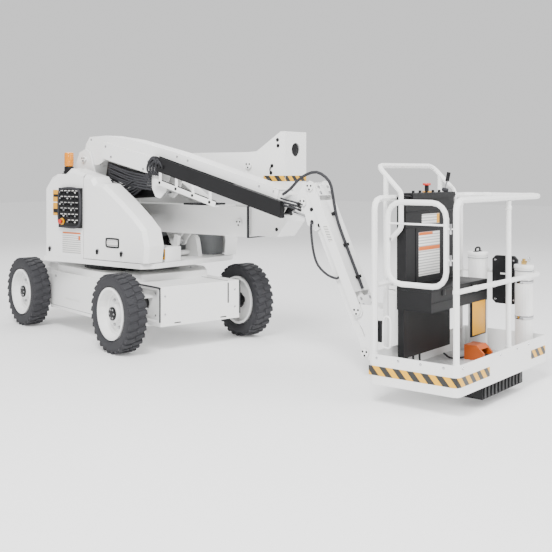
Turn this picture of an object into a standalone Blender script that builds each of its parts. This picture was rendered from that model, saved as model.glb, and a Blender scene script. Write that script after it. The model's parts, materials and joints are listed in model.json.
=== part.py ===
"""Articulating boom lift, boom stowed and jib folded down. Metres, +X along the boom, +Z up."""

import math

import bmesh
import bpy
from mathutils import Matrix, Vector

for old in list(bpy.data.objects):
    bpy.data.objects.remove(old, do_unlink=True)

# Driving dimensions
CHASSIS_TURN = math.radians(-12.4)
WHEEL_X = 0.8415
WHEEL_Y = 0.6105
TYRE_R = 0.309
TYRE_W = 0.165
RIM_R = 0.2045
KING_PIN_Y = 0.45
CHASSIS_W = 1.0
CHASSIS_BOTTOM = 0.18
DECK_TOP = 0.57
RING_R = 0.42
RING_TOP = 0.625
COVER_Y = 0.56
COVER_IN = 0.375
ARM_X = -0.35
ARM_Z = 1.0
ARM_LENGTH = 1.65
ARM_Y = (-0.04, 0.23)
UPPER_Z = 1.46
BOOM_SLOPE = math.radians(14.9)
BOOM_Y = -0.22
BOOM_W = 0.17
BOOM_PIN = (-0.25, 1.52)
NOSE = (2.13, 1.19)
JIB_TOP = (2.20, 1.30)
JIB_LOW = (2.60, 0.454)
LINK_TOP = (2.26, 1.02)
LINK_LOW = (2.66, 0.174)
ROTATOR_X = 2.86
PLATFORM_X = (3.04, 3.64)
PLATFORM_Y = (-0.86, 0.416)
PLATFORM_Z = 0.126
TOE_TOP = 0.308
RAIL_Z = 1.245
MID_Z = 0.72
RAIL_R = 0.02
GAP = 0.0003
SIDES = 12
WHEEL_SIDES = 20

COLOURS = {
    "white": (0.80, 0.79, 0.75, 1.0, 0.45, 0.0),
    "black": (0.02, 0.02, 0.022, 1.0, 0.5, 0.0),
    "rubber": (0.025, 0.025, 0.027, 1.0, 0.85, 0.0),
    "steel": (0.55, 0.55, 0.56, 1.0, 0.3, 1.0),
    "grey": (0.30, 0.31, 0.32, 1.0, 0.55, 0.0),
    "amber": (0.85, 0.30, 0.02, 1.0, 0.2, 0.0),
}

frames = {}


def frame_at(name, point, parent=None, turn=0.0):
    """An empty on a joint's axis, in its parent's frame."""
    empty = bpy.data.objects.new(name + "_axis", None)
    empty.empty_display_size = 0.1
    bpy.context.collection.objects.link(empty)
    start = Vector((0, 0, 0))
    if parent:
        empty.parent = frames[parent][0]
        if not turn:
            start = frames[parent][1]
    empty.location = Vector(point) - start
    empty.rotation_euler = (0, 0, turn)
    frames[name] = (empty, Vector(point))


def solid(name, bm):
    """A new object from a bmesh, with its faces pointing out."""
    bmesh.ops.recalc_face_normals(bm, faces=bm.faces)
    mesh = bpy.data.meshes.new(name)
    bm.to_mesh(mesh)
    bm.free()
    obj = bpy.data.objects.new(name, mesh)
    bpy.context.collection.objects.link(obj)
    return obj


def box(low, high, name="tool"):
    bm = bmesh.new()
    bmesh.ops.create_cube(bm, size=1.0)
    for vert in bm.verts:
        for k in range(3):
            vert.co[k] = high[k] if vert.co[k] > 0 else low[k]
    return solid(name, bm)


def lofted(sections, axis=1, name="tool"):
    """Closed solid through outlines of equal length, each at its place along an axis."""
    bm = bmesh.new()
    rings = []
    for place, outline in sections:
        ring = []
        for a, b in outline:
            point = (a, place, b) if axis == 1 else (a, b, place)
            if axis == 0:
                point = (place, a, b)
            ring.append(bm.verts.new(point))
        rings.append(ring)
    count = len(rings[0])
    for low, high in zip(rings, rings[1:]):
        for i in range(count):
            j = (i + 1) % count
            bm.faces.new((low[i], low[j], high[j], high[i]))
    bm.faces.new(rings[0])
    bm.faces.new(rings[-1])
    return solid(name, bm)


def plate(outline, low, high, name="tool"):
    """An outline in X and Z, extruded along Y."""
    return lofted([(low, outline), (high, outline)], 1, name)


def slab(outline, low, high, name="tool"):
    """An outline in X and Y, extruded along Z."""
    return lofted([(low, outline), (high, outline)], 2, name)


def bar(start, end, radius, sides=SIDES, name="tool"):
    """A cylinder between two points."""
    start, end = Vector(start), Vector(end)
    along = end - start
    bm = bmesh.new()
    bmesh.ops.create_cone(
        bm, cap_ends=True, segments=sides, radius1=radius, radius2=radius, depth=along.length
    )
    turn = Vector((0, 0, 1)).rotation_difference(along).to_matrix().to_4x4()
    bmesh.ops.transform(bm, matrix=Matrix.Translation((start + end) / 2) @ turn, verts=bm.verts)
    return solid(name, bm)


def turned(profile, centre, sides=WHEEL_SIDES, name="tool"):
    """A closed profile of (radius, y) points spun about the Y line through the centre."""
    bm = bmesh.new()
    rings = []
    for radius, y in profile:
        ring = []
        for i in range(sides if radius > 0 else 1):
            angle = 2 * math.pi * (i + 0.5) / sides
            ring.append(
                bm.verts.new(
                    (
                        centre[0] + radius * math.cos(angle),
                        y,
                        centre[1] + radius * math.sin(angle),
                    )
                )
            )
        rings.append(ring)
    pairs = list(zip(rings, rings[1:]))
    if len(rings[0]) > 1:
        pairs.append((rings[-1], rings[0]))
    for one, two in pairs:
        for i in range(sides):
            j = (i + 1) % sides
            corners = [one[i % len(one)], one[j % len(one)], two[j % len(two)], two[i % len(two)]]
            corners = list(dict.fromkeys(corners))
            if len(corners) > 2:
                bm.faces.new(corners)
    return solid(name, bm)


def rounded(points, radius, steps=4, closed=False):
    """A path with each corner replaced by an arc."""
    points = [Vector(point) for point in points]
    count = len(points)
    path = []
    for i in range(count):
        if not closed and i in (0, count - 1):
            path.append(points[i])
            continue
        here = points[i]
        back = (points[i - 1] - here).normalized()
        ahead = (points[(i + 1) % count] - here).normalized()
        half = back.angle(ahead) / 2
        reach = radius / math.tan(half)
        centre = here + (back + ahead).normalized() * (radius / math.sin(half))
        first = (here + back * reach - centre).normalized()
        last = (here + ahead * reach - centre).normalized()
        for k in range(steps + 1):
            path.append(centre + first.slerp(last, k / steps) * radius)
    return path


def tube(path, radius, closed=False, sides=3, name="tool"):
    """A bent tube, as a mesh, along a path."""
    curve = bpy.data.curves.new(name, "CURVE")
    curve.dimensions = "3D"
    curve.bevel_depth = radius
    curve.bevel_resolution = sides - 1
    curve.use_fill_caps = not closed
    spline = curve.splines.new("POLY")
    spline.points.add(len(path) - 1)
    for point, place in zip(spline.points, path):
        point.co = (*place, 1.0)
    spline.use_cyclic_u = closed
    guide = bpy.data.objects.new(name, curve)
    bpy.context.collection.objects.link(guide)
    bpy.context.view_layer.update()
    mesh = bpy.data.meshes.new_from_object(guide)
    bpy.data.objects.remove(guide, do_unlink=True)
    bm = bmesh.new()
    bm.from_mesh(mesh)
    bmesh.ops.remove_doubles(bm, verts=bm.verts, dist=1e-5)
    return solid(name, bm)


def combine(base, adds=(), cuts=()):
    """Joins the adds to the base and cuts the cuts from it."""
    for tools, way in ((adds, "UNION"), (cuts, "DIFFERENCE")):
        for tool in tools:
            tool.hide_render = True
            tool.display_type = "WIRE"
            step = base.modifiers.new(way.lower(), "BOOLEAN")
            step.operation = way
            step.object = tool
            step.solver = "EXACT"
    return base


def finish(obj, name, frame, colour):
    """Names a piece, gives it its material and hangs it on its joint's empty."""
    obj.name = name
    obj.data.name = name
    red, green, blue, alpha, rough, metal = COLOURS[colour]
    material = bpy.data.materials.new(name)
    material.use_nodes = True
    shader = material.node_tree.nodes["Principled BSDF"]
    shader.inputs["Base Color"].default_value = (red, green, blue, alpha)
    shader.inputs["Roughness"].default_value = rough
    shader.inputs["Metallic"].default_value = metal
    obj.data.materials.clear()
    obj.data.materials.append(material)
    pieces = [obj]
    for piece in pieces:
        pieces += [step.object for step in piece.modifiers if step.type == "BOOLEAN"]
    empty, point = frames[frame]
    for piece in pieces:
        piece.data.transform(Matrix.Translation(-point))
        piece.parent = empty
    obj.data.shade_smooth()
    obj.data.set_sharp_from_angle(angle=math.radians(35))
    return obj


def inset(outline, distance):
    """The outline moved in by a distance, corner by corner."""
    count = len(outline)
    area = sum(
        outline[i - 1][0] * outline[i][1] - outline[i][0] * outline[i - 1][1] for i in range(count)
    )
    sign = 1 if area > 0 else -1
    moved = []
    for i in range(count):
        before, here, after = outline[i - 1], outline[i], outline[(i + 1) % count]
        one = Vector((here[0] - before[0], here[1] - before[1])).normalized()
        two = Vector((after[0] - here[0], after[1] - here[1])).normalized()
        normal_one = Vector((-one.y, one.x)) * sign
        normal_two = Vector((-two.y, two.x)) * sign
        middle = (normal_one + normal_two).normalized()
        reach = distance / max(0.4, middle.dot(normal_one))
        moved.append((here[0] + middle.x * reach, here[1] + middle.y * reach))
    return moved


def disc(centre, radius, sides=SIDES, start=0.0, end=360.0):
    """Points of an arc, as part of an outline."""
    points = []
    full = abs(end - start) >= 360
    steps = sides if full else max(2, round(sides * abs(end - start) / 360))
    for i in range(steps if full else steps + 1):
        angle = math.radians(start + (end - start) * i / steps)
        points.append((centre[0] + radius * math.cos(angle), centre[1] + radius * math.sin(angle)))
    return points


def along_boom(distance, height):
    """A point of the boom's axis plane, by its distance down the boom and height over it."""
    cos, sin = math.cos(BOOM_SLOPE), math.sin(BOOM_SLOPE)
    return (0.7843 + distance * cos + height * sin, 1.4754 - distance * sin + height * cos)


def pin(point, low, high, radius=0.02):
    return bar((point[0], low, point[1]), (point[0], high, point[1]), radius)


def hole(point, low, high, radius=0.0209):
    return bar((point[0], low, point[1]), (point[0], high, point[1]), radius)


# Joint axes, each as an empty
frame_at("ground", (0, 0, 0), None, CHASSIS_TURN)
for side, sign in (("right", -1), ("left", 1)):
    frame_at("steer_" + side, (WHEEL_X, sign * KING_PIN_Y, TYRE_R), "ground")
    frame_at("front_wheel_" + side, (WHEEL_X, sign * WHEEL_Y, TYRE_R), "steer_" + side)
    frame_at("rear_wheel_" + side, (-WHEEL_X, sign * WHEEL_Y, TYRE_R), "ground")
frame_at("turret", (0, 0, RING_TOP), "ground", -CHASSIS_TURN)
frame_at("right_door", (0.016, -0.552, 0.9), "turret")
frame_at("left_cover", (-0.505, 0.545, 0.9), "turret")
frame_at("riser_barrel", (-0.42, 0.095, 0.76), "turret")
frame_at("riser_rod", (0.48, 0.095, 0.81), "riser_barrel")
frame_at("lower_arm", (ARM_X, 0.095, ARM_Z), "turret")
frame_at("knuckle_bracket", (ARM_X + ARM_LENGTH, 0.095, ARM_Z), "lower_arm")
frame_at("upper_arm", (1.40, 0.095, UPPER_Z), "knuckle_bracket")
frame_at("pivot_bracket", (1.40 - ARM_LENGTH, 0.095, UPPER_Z), "upper_arm")
frame_at("lift_barrel", (-0.28, BOOM_Y, 1.20), "pivot_bracket")
frame_at("lift_rod", (0.645, BOOM_Y, 1.245), "lift_barrel")
frame_at("main_boom", (BOOM_PIN[0], BOOM_Y, BOOM_PIN[1]), "pivot_bracket")
frame_at("inner_boom", (NOSE[0], BOOM_Y, NOSE[1]), "main_boom")
frame_at("level_rod", (2.20, BOOM_Y, 1.05), "inner_boom")
frame_at("nose_bracket", (NOSE[0], BOOM_Y, NOSE[1]), "inner_boom")
frame_at("jib_arm", (JIB_TOP[0], BOOM_Y, JIB_TOP[1]), "nose_bracket")
frame_at("jib_link", (LINK_TOP[0], BOOM_Y, LINK_TOP[1]), "nose_bracket")
frame_at("jib_barrel", (LINK_TOP[0], BOOM_Y, LINK_TOP[1]), "nose_bracket")
frame_at("jib_rod", (JIB_LOW[0], BOOM_Y, JIB_LOW[1]), "jib_barrel")
frame_at("platform_mount", (JIB_LOW[0], BOOM_Y, JIB_LOW[1]), "jib_arm")
frame_at("platform", (ROTATOR_X, BOOM_Y, 0.4), "platform_mount")
frame_at("gate", (3.145, -0.85, 1.0), "platform")

# Chassis
half = [(-1.12, -0.43), (-0.605, -0.43), (-0.605, -CHASSIS_W / 2), (0.42, -CHASSIS_W / 2)]
half += [(0.50, -0.345), (0.60 - GAP, -0.345)]
outline = half + [(x, -y) for x, y in reversed(half)]
body = slab(outline, CHASSIS_BOTTOM, 0.515)
slots = []
for sign in (-1, 1):
    edges = sorted((sign * 0.494, sign * 0.51))
    slots.append(box((-0.34, edges[0], 0.279), (-0.03, edges[1], 0.293)))
finish(combine(body, cuts=slots), "chassis_frame", "ground", "white")

half = [(-1.10, -0.42), (-0.62, -0.42), (-0.50, -0.48), (0.42, -0.48), (0.70, -0.32)]
outline = half + [(x, -y) for x, y in reversed(half)]
finish(slab(outline, 0.515 + GAP, DECK_TOP), "deck", "ground", "white")

axle = box((0.60, -0.38, 0.205), (1.08, 0.38, 0.515))
pockets, plates, bores = [], [], []
for sign in (-1, 1):
    low, high = sorted((sign * 0.33, sign * 0.40))
    pockets.append(box((0.64, low, 0.235), (1.04, high, 0.485)))
    tip = [(WHEEL_X - 0.06, sign * 0.32), (WHEEL_X + 0.06, sign * 0.32)]
    round_end = disc((WHEEL_X, sign * KING_PIN_Y), 0.045, 16, 0, sign * 180)
    for low, high in ((0.19, 0.215), (0.41, 0.43)):
        plates.append(slab(tip + round_end, low, high))
    place = (WHEEL_X, sign * KING_PIN_Y)
    bores.append(bar((*place, 0.17), (*place, 0.45), 0.0188))
combine(axle, cuts=pockets)
combine(axle, adds=plates)
combine(axle, cuts=bores)
finish(axle, "front_axle_box", "ground", "white")

for side, sign in (("right", -1), ("left", 1)):
    hub = bar((-WHEEL_X, sign * (0.43 + GAP), TYRE_R), (-WHEEL_X, sign * 0.56, TYRE_R), 0.08)
    stub = bar((-WHEEL_X, sign * 0.5, TYRE_R), (-WHEEL_X, sign * 0.6395, TYRE_R), 0.03)
    finish(combine(hub, adds=[stub]), "rear_axle_" + side, "ground", "black")

    place = (WHEEL_X, sign * KING_PIN_Y)
    post = bar((*place, 0.2155), (*place, 0.4095), 0.035)
    king = bar((*place, 0.17), (*place, 0.45), 0.018)
    hub = bar((WHEEL_X, sign * 0.47, TYRE_R), (WHEEL_X, sign * 0.56, TYRE_R), 0.07)
    stub = bar((WHEEL_X, sign * 0.44, TYRE_R), (WHEEL_X, sign * 0.6395, TYRE_R), 0.03)
    knuckle = combine(post, adds=[king, hub, stub])
    finish(knuckle, "steering_knuckle_" + side, "steer_" + side, "black")

    for end, x in (("front", WHEEL_X), ("rear", -WHEEL_X)):
        rim = [(0, 0.64), (0.0312, 0.64), (0.0312, 0.598), (0.185, 0.598), (0.185, 0.534)]
        rim += [(RIM_R, 0.534), (RIM_R, 0.687), (0.190, 0.687), (0.180, 0.612)]
        rim += [(0.075, 0.612), (0.07, 0.66), (0, 0.66)]
        edge = TYRE_R / math.cos(math.pi / WHEEL_SIDES)
        wide = TYRE_W / 2
        tyre = [(RIM_R + 0.0006, wide - 0.003), (edge * 0.81, wide), (edge * 0.94, wide - 0.004)]
        tyre += [(edge, wide - 0.022)]
        tyre = [(r, WHEEL_Y + y) for r, y in tyre] + [(r, WHEEL_Y - y) for r, y in reversed(tyre)]
        tail = end + "_" + side
        wheel = end + "_wheel_" + side
        rim = [(r, sign * y) for r, y in rim]
        tyre = [(r, sign * y) for r, y in tyre]
        finish(turned(rim, (x, TYRE_R)), "rim_" + tail, wheel, "white")
        finish(turned(tyre, (x, TYRE_R)), "tyre_" + tail, wheel, "rubber")

finish(
    slab(disc((0, 0), RING_R, 32), DECK_TOP + GAP, RING_TOP), "turntable_ring", "ground", "black"
)

# Turret base, with the arm's uprights, the riser cylinder's lugs and the arm's rest
BASE_TOP = 0.672
half = [(-0.80, -0.34), (-0.535, -0.34), (-0.535, -0.558), (0.70, -0.558), (0.76, -0.46)]
outline = half + [(x, -y) for x, y in reversed(half)]
base = slab(outline, 0.63, BASE_TOP)
bearing = slab(disc((0, 0), 0.30, 24), RING_TOP + GAP, 0.65)
adds = [bearing]
upright = [(-0.47, 0.65), (-0.23, 0.65)] + disc((ARM_X, ARM_Z), 0.06, 16, 0, 180)
adds += [plate(upright, -0.075, -0.055), plate(upright, 0.245, 0.265)]
lug = [(-0.48, 0.65), (-0.36, 0.65)] + disc((-0.42, 0.76), 0.035, 12, 0, 180)
adds += [plate(lug, 0.035, 0.047), plate(lug, 0.143, 0.155)]
yoke = [(0.45, 0.65), (0.62, 0.65)] + disc((0.53, 0.80), 0.06, 12, 0, 180)
adds += [plate(yoke, 0.20, 0.25)]
adds += [bar((0.49, -0.10, 0.705), (0.49, 0.21, 0.705), 0.022, 12)]
post = [(0.50, 0.65), (0.56, 0.65), (0.60, 0.86), (0.56, 0.875)]
adds += [plate(post, -0.035, 0.0)]
holes = [hole((ARM_X, ARM_Z), -0.1, 0.3), hole((-0.42, 0.76), 0.02, 0.17, 0.0184)]
finish(combine(base, adds, holes), "turret_base", "turret", "black")

weight = [(-0.80, -0.24), (-0.74, -0.34), (-0.54, -0.34), (-0.54, 0.34), (-0.74, 0.34)]
weight += [(-0.80, 0.24)]
finish(slab(weight, BASE_TOP + GAP, 1.15), "counterweight", "turret", "white")
battery = box((-0.45, -0.53, BASE_TOP + GAP), (0.60, -0.39, 0.95))
finish(battery, "battery_block", "turret", "black")
tank = box((-0.28, 0.39, BASE_TOP + GAP), (0.60, 0.53, 0.95))
finish(tank, "hydraulic_block", "turret", "grey")


def cover(outline, split, sign):
    """A cover's shell: eased outer edges, open at the bottom, inside and at its split."""
    wall = 0.006

    def eased(points, distance):
        moved = []
        for old, new in zip(points, inset(points, distance)):
            x = old[0] if split is not None and abs(old[0] - split) < 0.001 else new[0]
            moved.append((x, old[1] if old[1] < 0.70 else new[1]))
        return moved

    outer = [(COVER_IN, outline), (COVER_Y - 0.03, outline), (COVER_Y, eased(outline, 0.03))]
    inner = []
    for old, new in zip(outline, inset(outline, wall)):
        x = new[0]
        if split is not None and abs(old[0] - split) < 0.001:
            x = old[0] + (0.02 if split < 0.004 else -0.02)
        inner.append((x, 0.64 if old[1] < 0.70 else new[1]))
    small = []
    for old, new in zip(inner, inset(inner, 0.028)):
        x = old[0] if abs(old[0] - (split or 0)) < 0.03 else new[0]
        small.append((x, old[1] if old[1] < 0.70 else new[1]))
    room = [(COVER_IN - 0.02, inner), (COVER_Y - 0.032, inner), (COVER_Y - wall, small)]
    shell = lofted([(sign * y, points) for y, points in outer])
    return combine(shell, cuts=[lofted([(sign * y, points) for y, points in room])])


front = [(0.762, 0.6775), (0.779, 0.813), (0.744, 0.946), (0.64, 1.038), (0.474, 1.162)]
front += [(0.253, 1.306), (0.152, 1.314), (0.113, 1.364)]
back = [(-0.189, 1.436), (-0.265, 1.388), (-0.375, 1.388), (-0.45, 1.36), (-0.53, 1.27)]
rear_half = [(-0.53, BASE_TOP + GAP), (0.0, BASE_TOP + GAP), (0.0, 1.391)] + back
finish(cover(rear_half, 0.0, -1), "right_cover", "turret", "white")
door = cover([(0.008, 0.6775)] + front + [(0.008, 1.389)], 0.008, -1)
knuckle = bar((0.016, -0.552, BASE_TOP + GAP), (0.016, -0.552, 1.25), 0.006, 8)
finish(combine(door, adds=[knuckle]), "right_door", "right_door", "white")
door = cover([(-0.53, 0.6775)] + front + back, None, 1)
knuckle = bar((-0.505, 0.545, BASE_TOP + GAP), (-0.505, 0.545, 1.2), 0.006, 8)
finish(combine(door, adds=[knuckle]), "left_cover", "left_cover", "white")

panel = box((-0.30, -0.585, 0.93), (-0.005, -COVER_Y - GAP, 1.27))
finish(panel, "control_panel", "turret", "black")
lamp = [(1.388 + GAP, 0.045), (1.45, 0.045), (1.4505, 0.040), (1.56, 0.038), (1.58, 0.026)]
lamp = [(z, disc((-0.32, -0.455), r, 16)) for z, r in lamp]
finish(lofted(lamp, 2), "beacon", "turret", "amber")


def ram(name, start, tip, y, radius, rod_radius, length, rod_start, half, colour, body=None):
    """A cylinder's barrel and rod, hung on their own axes."""
    a = Vector((start[0], y, start[1]))
    b = Vector((tip[0], y, tip[1]))
    along = (b - a).normalized()
    across = Vector((0, 1, 0))
    barrel = bar(a, a + along * length, radius)
    gland = bar(a + along * (length - 0.03), a + along * (length - 0.001), radius + 0.006)
    eye = bar(a - across * radius * 0.9, a + across * radius * 0.9, radius * 0.85)
    cross = bar(a - across * half, a + across * half, 0.0175)
    bore = bar(a + along * (radius + 0.01), a + along * (length + 0.05), rod_radius + 0.0009, 12)
    combine(barrel, [gland, eye, cross], [bore])
    finish(barrel, name + "_barrel", body or name + "_barrel", colour)
    rod = bar(a + along * rod_start, b, rod_radius, 12)
    eye = bar(b - across * rod_radius * 1.3, b + across * rod_radius * 1.3, rod_radius + 0.008)
    finish(combine(rod, adds=[eye]), name + "_rod", name + "_rod", "steel")


ram("riser", (-0.42, 0.76), (0.48, 0.81), 0.095, 0.042, 0.024, 0.78, 0.12, 0.066, "black")
ram("lift", (-0.28, 1.20), (0.645, 1.245), BOOM_Y, 0.045, 0.026, 0.84, 0.12, 0.108, "black")
spread = (BOOM_Y, 0.027, 0.015, 0.275, 0.2525, 0.063)
ram("level", (1.70, 1.19), (2.20, 1.05), *spread, "black", "inner_boom")
ram("jib", LINK_TOP, JIB_LOW, BOOM_Y, 0.036, 0.019, 0.60, 0.05, 0.080, "white")

# Riser: lower arm, open under its rear half, with the cylinder's lugs
low, high = ARM_Y
arm = box((-0.43, low, 0.89), (1.40, high, 1.13))
wall = 0.008
cuts = [box((-0.5, low + wall, 0.85), (0.37, high - wall, 1.122))]
cuts += [box((0.39, low + wall, 0.898), (1.5, high - wall, 1.122))]
cuts += [box((1.15, low + wall, 0.85), (1.5, high - wall, 0.95))]
cuts += [box((1.20, low + wall, 1.05), (1.5, high - wall, 1.2))]
combine(arm, cuts=cuts)
ear = [(0.60, 0.895), (0.38, 0.895)] + disc((0.48, 0.81), 0.042, 12, 180, 360)
adds = [plate(ear, 0.035, 0.047), plate(ear, 0.143, 0.155)]
adds += [pin((ARM_X, ARM_Z), low - 0.04, high + 0.04)]
combine(arm, adds=adds)
combine(arm, cuts=[hole((ARM_X + ARM_LENGTH, ARM_Z), -0.1, 0.3)])
finish(arm, "lower_arm", "lower_arm", "white")

# Knuckle bracket, between the two riser arms
knuckle = ARM_X + ARM_LENGTH
tongue = [(1.24, 0.90), (1.66, 0.90), (1.76, 1.02), (1.76, 1.25), (1.24, 1.25)]
bracket = plate(tongue, low + 0.02, high - 0.02)
side_plate = [(1.33, 1.236), (1.76, 1.236), (1.76, 1.72), (1.716, 1.72), (1.475, 1.57)]
side_plate += [(1.33, 1.56)]
adds = [plate(side_plate, low, low + 0.01), plate(side_plate, high - 0.01, high)]
adds += [box((1.331, low + 0.001, 1.235), (1.759, high - 0.001, 1.256))]
adds += [box((1.748, low + 0.0005, 1.24), (1.7595, high - 0.0005, 1.719))]
adds += [pin((knuckle, ARM_Z), low - 0.012, high + 0.012)]
cuts = [bar((1.70, 0.095, 1.58), (1.80, 0.095, 1.58), 0.055)]
cuts += [hole((1.40, UPPER_Z), -0.1, 0.3)]
finish(combine(bracket, adds, cuts), "knuckle_bracket", "knuckle_bracket", "white")

# Upper arm
arm = box((-0.33, low + 0.018, 1.36), (1.50, high - 0.018, 1.565))
room = box((-0.24, low + 0.026, 1.368), (1.60, high - 0.026, 1.557))
combine(arm, cuts=[room])
adds = [pin((1.40, UPPER_Z), low - 0.012, high + 0.012)]
adds += [pin((-0.25, UPPER_Z), -0.055, high + 0.025)]
combine(arm, adds=adds)
finish(arm, "upper_arm", "upper_arm", "white")

# Upper pivot bracket: near plate, middle plate and far plate, tied by two cross blocks
near = [(-0.10, 1.31), (-0.195, 1.58), (-0.25, 1.61), (-0.33, 1.58), (-0.42, 1.40)]
near += [(-0.42, 1.16), (-0.36, 1.14), (-0.22, 1.14)]
middle = [(-0.15, 1.36), (-0.19, 1.57), (-0.25, 1.61), (-0.38, 1.58), (-0.45, 1.52)]
middle += [(-0.45, 1.16), (-0.40, 1.14), (-0.22, 1.14)]
bracket = plate(near, -0.330, -0.312)
adds = [plate(middle, -0.125, -0.100)]
far = [(-0.15, 1.38), (-0.19, 1.53), (-0.25, 1.55), (-0.38, 1.54), (-0.45, 1.50), (-0.45, 1.32)]
adds += [plate(far, 0.222, 0.240)]
adds += [box((-0.415, -0.320, 1.17), (-0.35, -0.110, 1.38))]
adds += [box((-0.449, -0.110, 1.33), (-0.42, 0.230, 1.49))]
boss = bar((-0.25, -0.11, UPPER_Z), (-0.25, -0.03, UPPER_Z), 0.036)
holes = [hole(BOOM_PIN, -0.40, -0.05), hole((-0.28, 1.20), -0.40, -0.05, 0.0184)]
holes += [hole((-0.25, UPPER_Z), -0.056, 0.3)]
combine(bracket, adds + [boss], holes)
finish(bracket, "upper_pivot_bracket", "pivot_bracket", "white")

# Main boom: plated rear half, square tube in front, the lift rod's plates under it
low, high = BOOM_Y - BOOM_W / 2, BOOM_Y + BOOM_W / 2
outline = [(-0.27, 1.655), (-0.22, 1.715), (0.0, 1.722), (0.30, 1.682), (0.81, 1.572)]
outline += [(1.90, 1.282), (1.90, 1.075), (0.81, 1.365), (0.55, 1.40), (0.0, 1.52)]
outline += [(-0.10, 1.47), (-0.20, 1.462), (-0.25, 1.455), (-0.30, 1.472), (-0.315, 1.52)]
boom = plate(outline, low, high)
wall = 0.006
room = [along_boom(s, t) for s, t in ((0.0, -0.094), (1.10, -0.094), (1.10, 0.094), (0.0, 0.094))]
mouth = [along_boom(s, t) for s, t in ((1.09, -0.0866), (1.4, -0.0866), (1.4, 0.0866))]
mouth += [along_boom(1.09, 0.0866)]
rear = [(0.05, 1.20), (0.73, 1.20), (0.73, 1.575), (0.30, 1.668), (0.05, 1.70)]
cuts = [plate(room, low + wall, high - wall), plate(mouth, BOOM_Y - 0.0656, BOOM_Y + 0.0656)]
cuts += [plate(rear, low + wall, high - wall)]
heel = [(-0.40, 1.00), (0.10, 1.00), (0.10, 1.421), (-0.40, 1.535)]
cuts += [plate(heel, low + 0.014, high - 0.014)]
combine(boom, cuts=cuts)
panel = [(0.0, 1.665), (0.65, 1.518), (0.553, 1.397), (0.10, 1.497), (-0.02, 1.528)]
hanger = [(0.50, 1.45), (0.78, 1.40), (0.72, 1.24), (0.66, 1.19), (0.61, 1.20), (0.54, 1.32)]
adds = [plate(panel, low - 0.035, low + 0.004)]
adds += [plate(hanger, low + 0.0005, low + 0.012), plate(hanger, high - 0.012, high - 0.0005)]
adds += [pin(BOOM_PIN, low - 0.045, high + 0.045)]
combine(boom, adds=adds)
finish(boom, "main_boom", "main_boom", "white")

# Cable tray on the boom's side: an open channel, then a closed box
def boom_top(x):
    return 1.572 - (x - 0.81) * (0.29 / 1.09)


tray_side = low - GAP
ends = [(0.66, 0.075), (1.96, 0.075), (1.96, 0.195), (0.66, 0.195)]
outline = [(x, boom_top(x) - drop) for x, drop in ends]
tray = plate(outline, low - 0.05, tray_side)
room = [(0.60, 0.090), (1.50, 0.090), (1.50, 0.180), (0.60, 0.180)]
room = [(x, boom_top(x) - drop) for x, drop in room]
slot = [(0.60, 0.05), (1.50, 0.05), (1.50, 0.12), (0.60, 0.12)]
slot = [(x, boom_top(x) - drop) for x, drop in slot]
cuts = [plate(room, low - 0.044, low - 0.006), plate(slot, low - 0.044, low - 0.006)]
finish(combine(tray, cuts=cuts), "cable_tray", "main_boom", "black")

# Inner boom, with its narrowed end
outline = [(0.02, -0.086), (1.20, -0.086), (1.235, 0.016), (1.36, 0.030)]
outline += disc((1.374, 0.0702), 0.032, 16, -90, 90) + [(1.30, 0.086), (0.02, 0.086)]
tube_out = [along_boom(s, t) for s, t in outline]
inner = plate(tube_out, BOOM_Y - 0.065, BOOM_Y + 0.065)
ends = [(0.10, -0.078), (1.19, -0.078), (1.19, 0.078), (0.10, 0.078)]
rooms = [plate([along_boom(s, t) for s, t in ends], BOOM_Y - 0.057, BOOM_Y + 0.057)]
ends = [(1.15, -0.078), (1.30, -0.078), (1.30, 0.008), (1.15, 0.008)]
rooms += [plate([along_boom(s, t) for s, t in ends], BOOM_Y - 0.057, BOOM_Y + 0.057)]
rooms += [hole(NOSE, -0.4, 0.0), hole((1.70, 1.19), -0.4, 0.0, 0.0184)]
ends = [(0.0205, -0.0935), (0.08, -0.0935), (0.08, 0.0935), (0.0205, 0.0935)]
heel = plate([along_boom(s, t) for s, t in ends], BOOM_Y - 0.0785, BOOM_Y + 0.0785)
combine(inner, [heel], rooms)
finish(inner, "inner_boom", "inner_boom", "white")

# Nose bracket
outline = [(2.06, 1.20), (2.13, 1.33), (2.24, 1.33), (2.27, 1.22), (2.295, 1.02)]
outline += [(2.24, 0.985), (2.165, 1.03), (2.13, 1.155), (2.07, 1.155)]
bracket = plate(outline, BOOM_Y - 0.082, BOOM_Y - 0.070)
adds = [plate(outline, BOOM_Y + 0.070, BOOM_Y + 0.082)]
adds += [pin(NOSE, BOOM_Y - 0.09, BOOM_Y + 0.09)]
adds += [pin(JIB_TOP, BOOM_Y - 0.10, BOOM_Y + 0.10)]
holes = [hole(LINK_TOP, -0.4, 0.0, 0.0184)]
finish(combine(bracket, adds, holes), "nose_bracket", "nose_bracket", "white")


# Jib: a channel open at the back, with a link of two bars behind it
JIB_LENGTH = math.hypot(JIB_LOW[0] - JIB_TOP[0], JIB_LOW[1] - JIB_TOP[1])
JIB_WAY = ((JIB_LOW[0] - JIB_TOP[0]) / JIB_LENGTH, (JIB_LOW[1] - JIB_TOP[1]) / JIB_LENGTH)


def along_jib(distance, ahead, start=JIB_TOP):
    """A point by its distance down the jib and its offset towards the front."""
    x, z = JIB_WAY
    return (start[0] + distance * x - ahead * z, start[1] + distance * z + ahead * x)


def capsule(start, back, front, end_extra):
    """The outline of a bar along the jib with cut corners."""
    e, c = end_extra, 0.02
    points = [(-e, back + c), (-e + c, back), (JIB_LENGTH + e - c, back)]
    points += [(JIB_LENGTH + e, back + c), (JIB_LENGTH + e, front - c)]
    points += [(JIB_LENGTH + e - c, front), (-e + c, front), (-e, front - c)]
    return [along_jib(s, t, start) for s, t in points]


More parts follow.
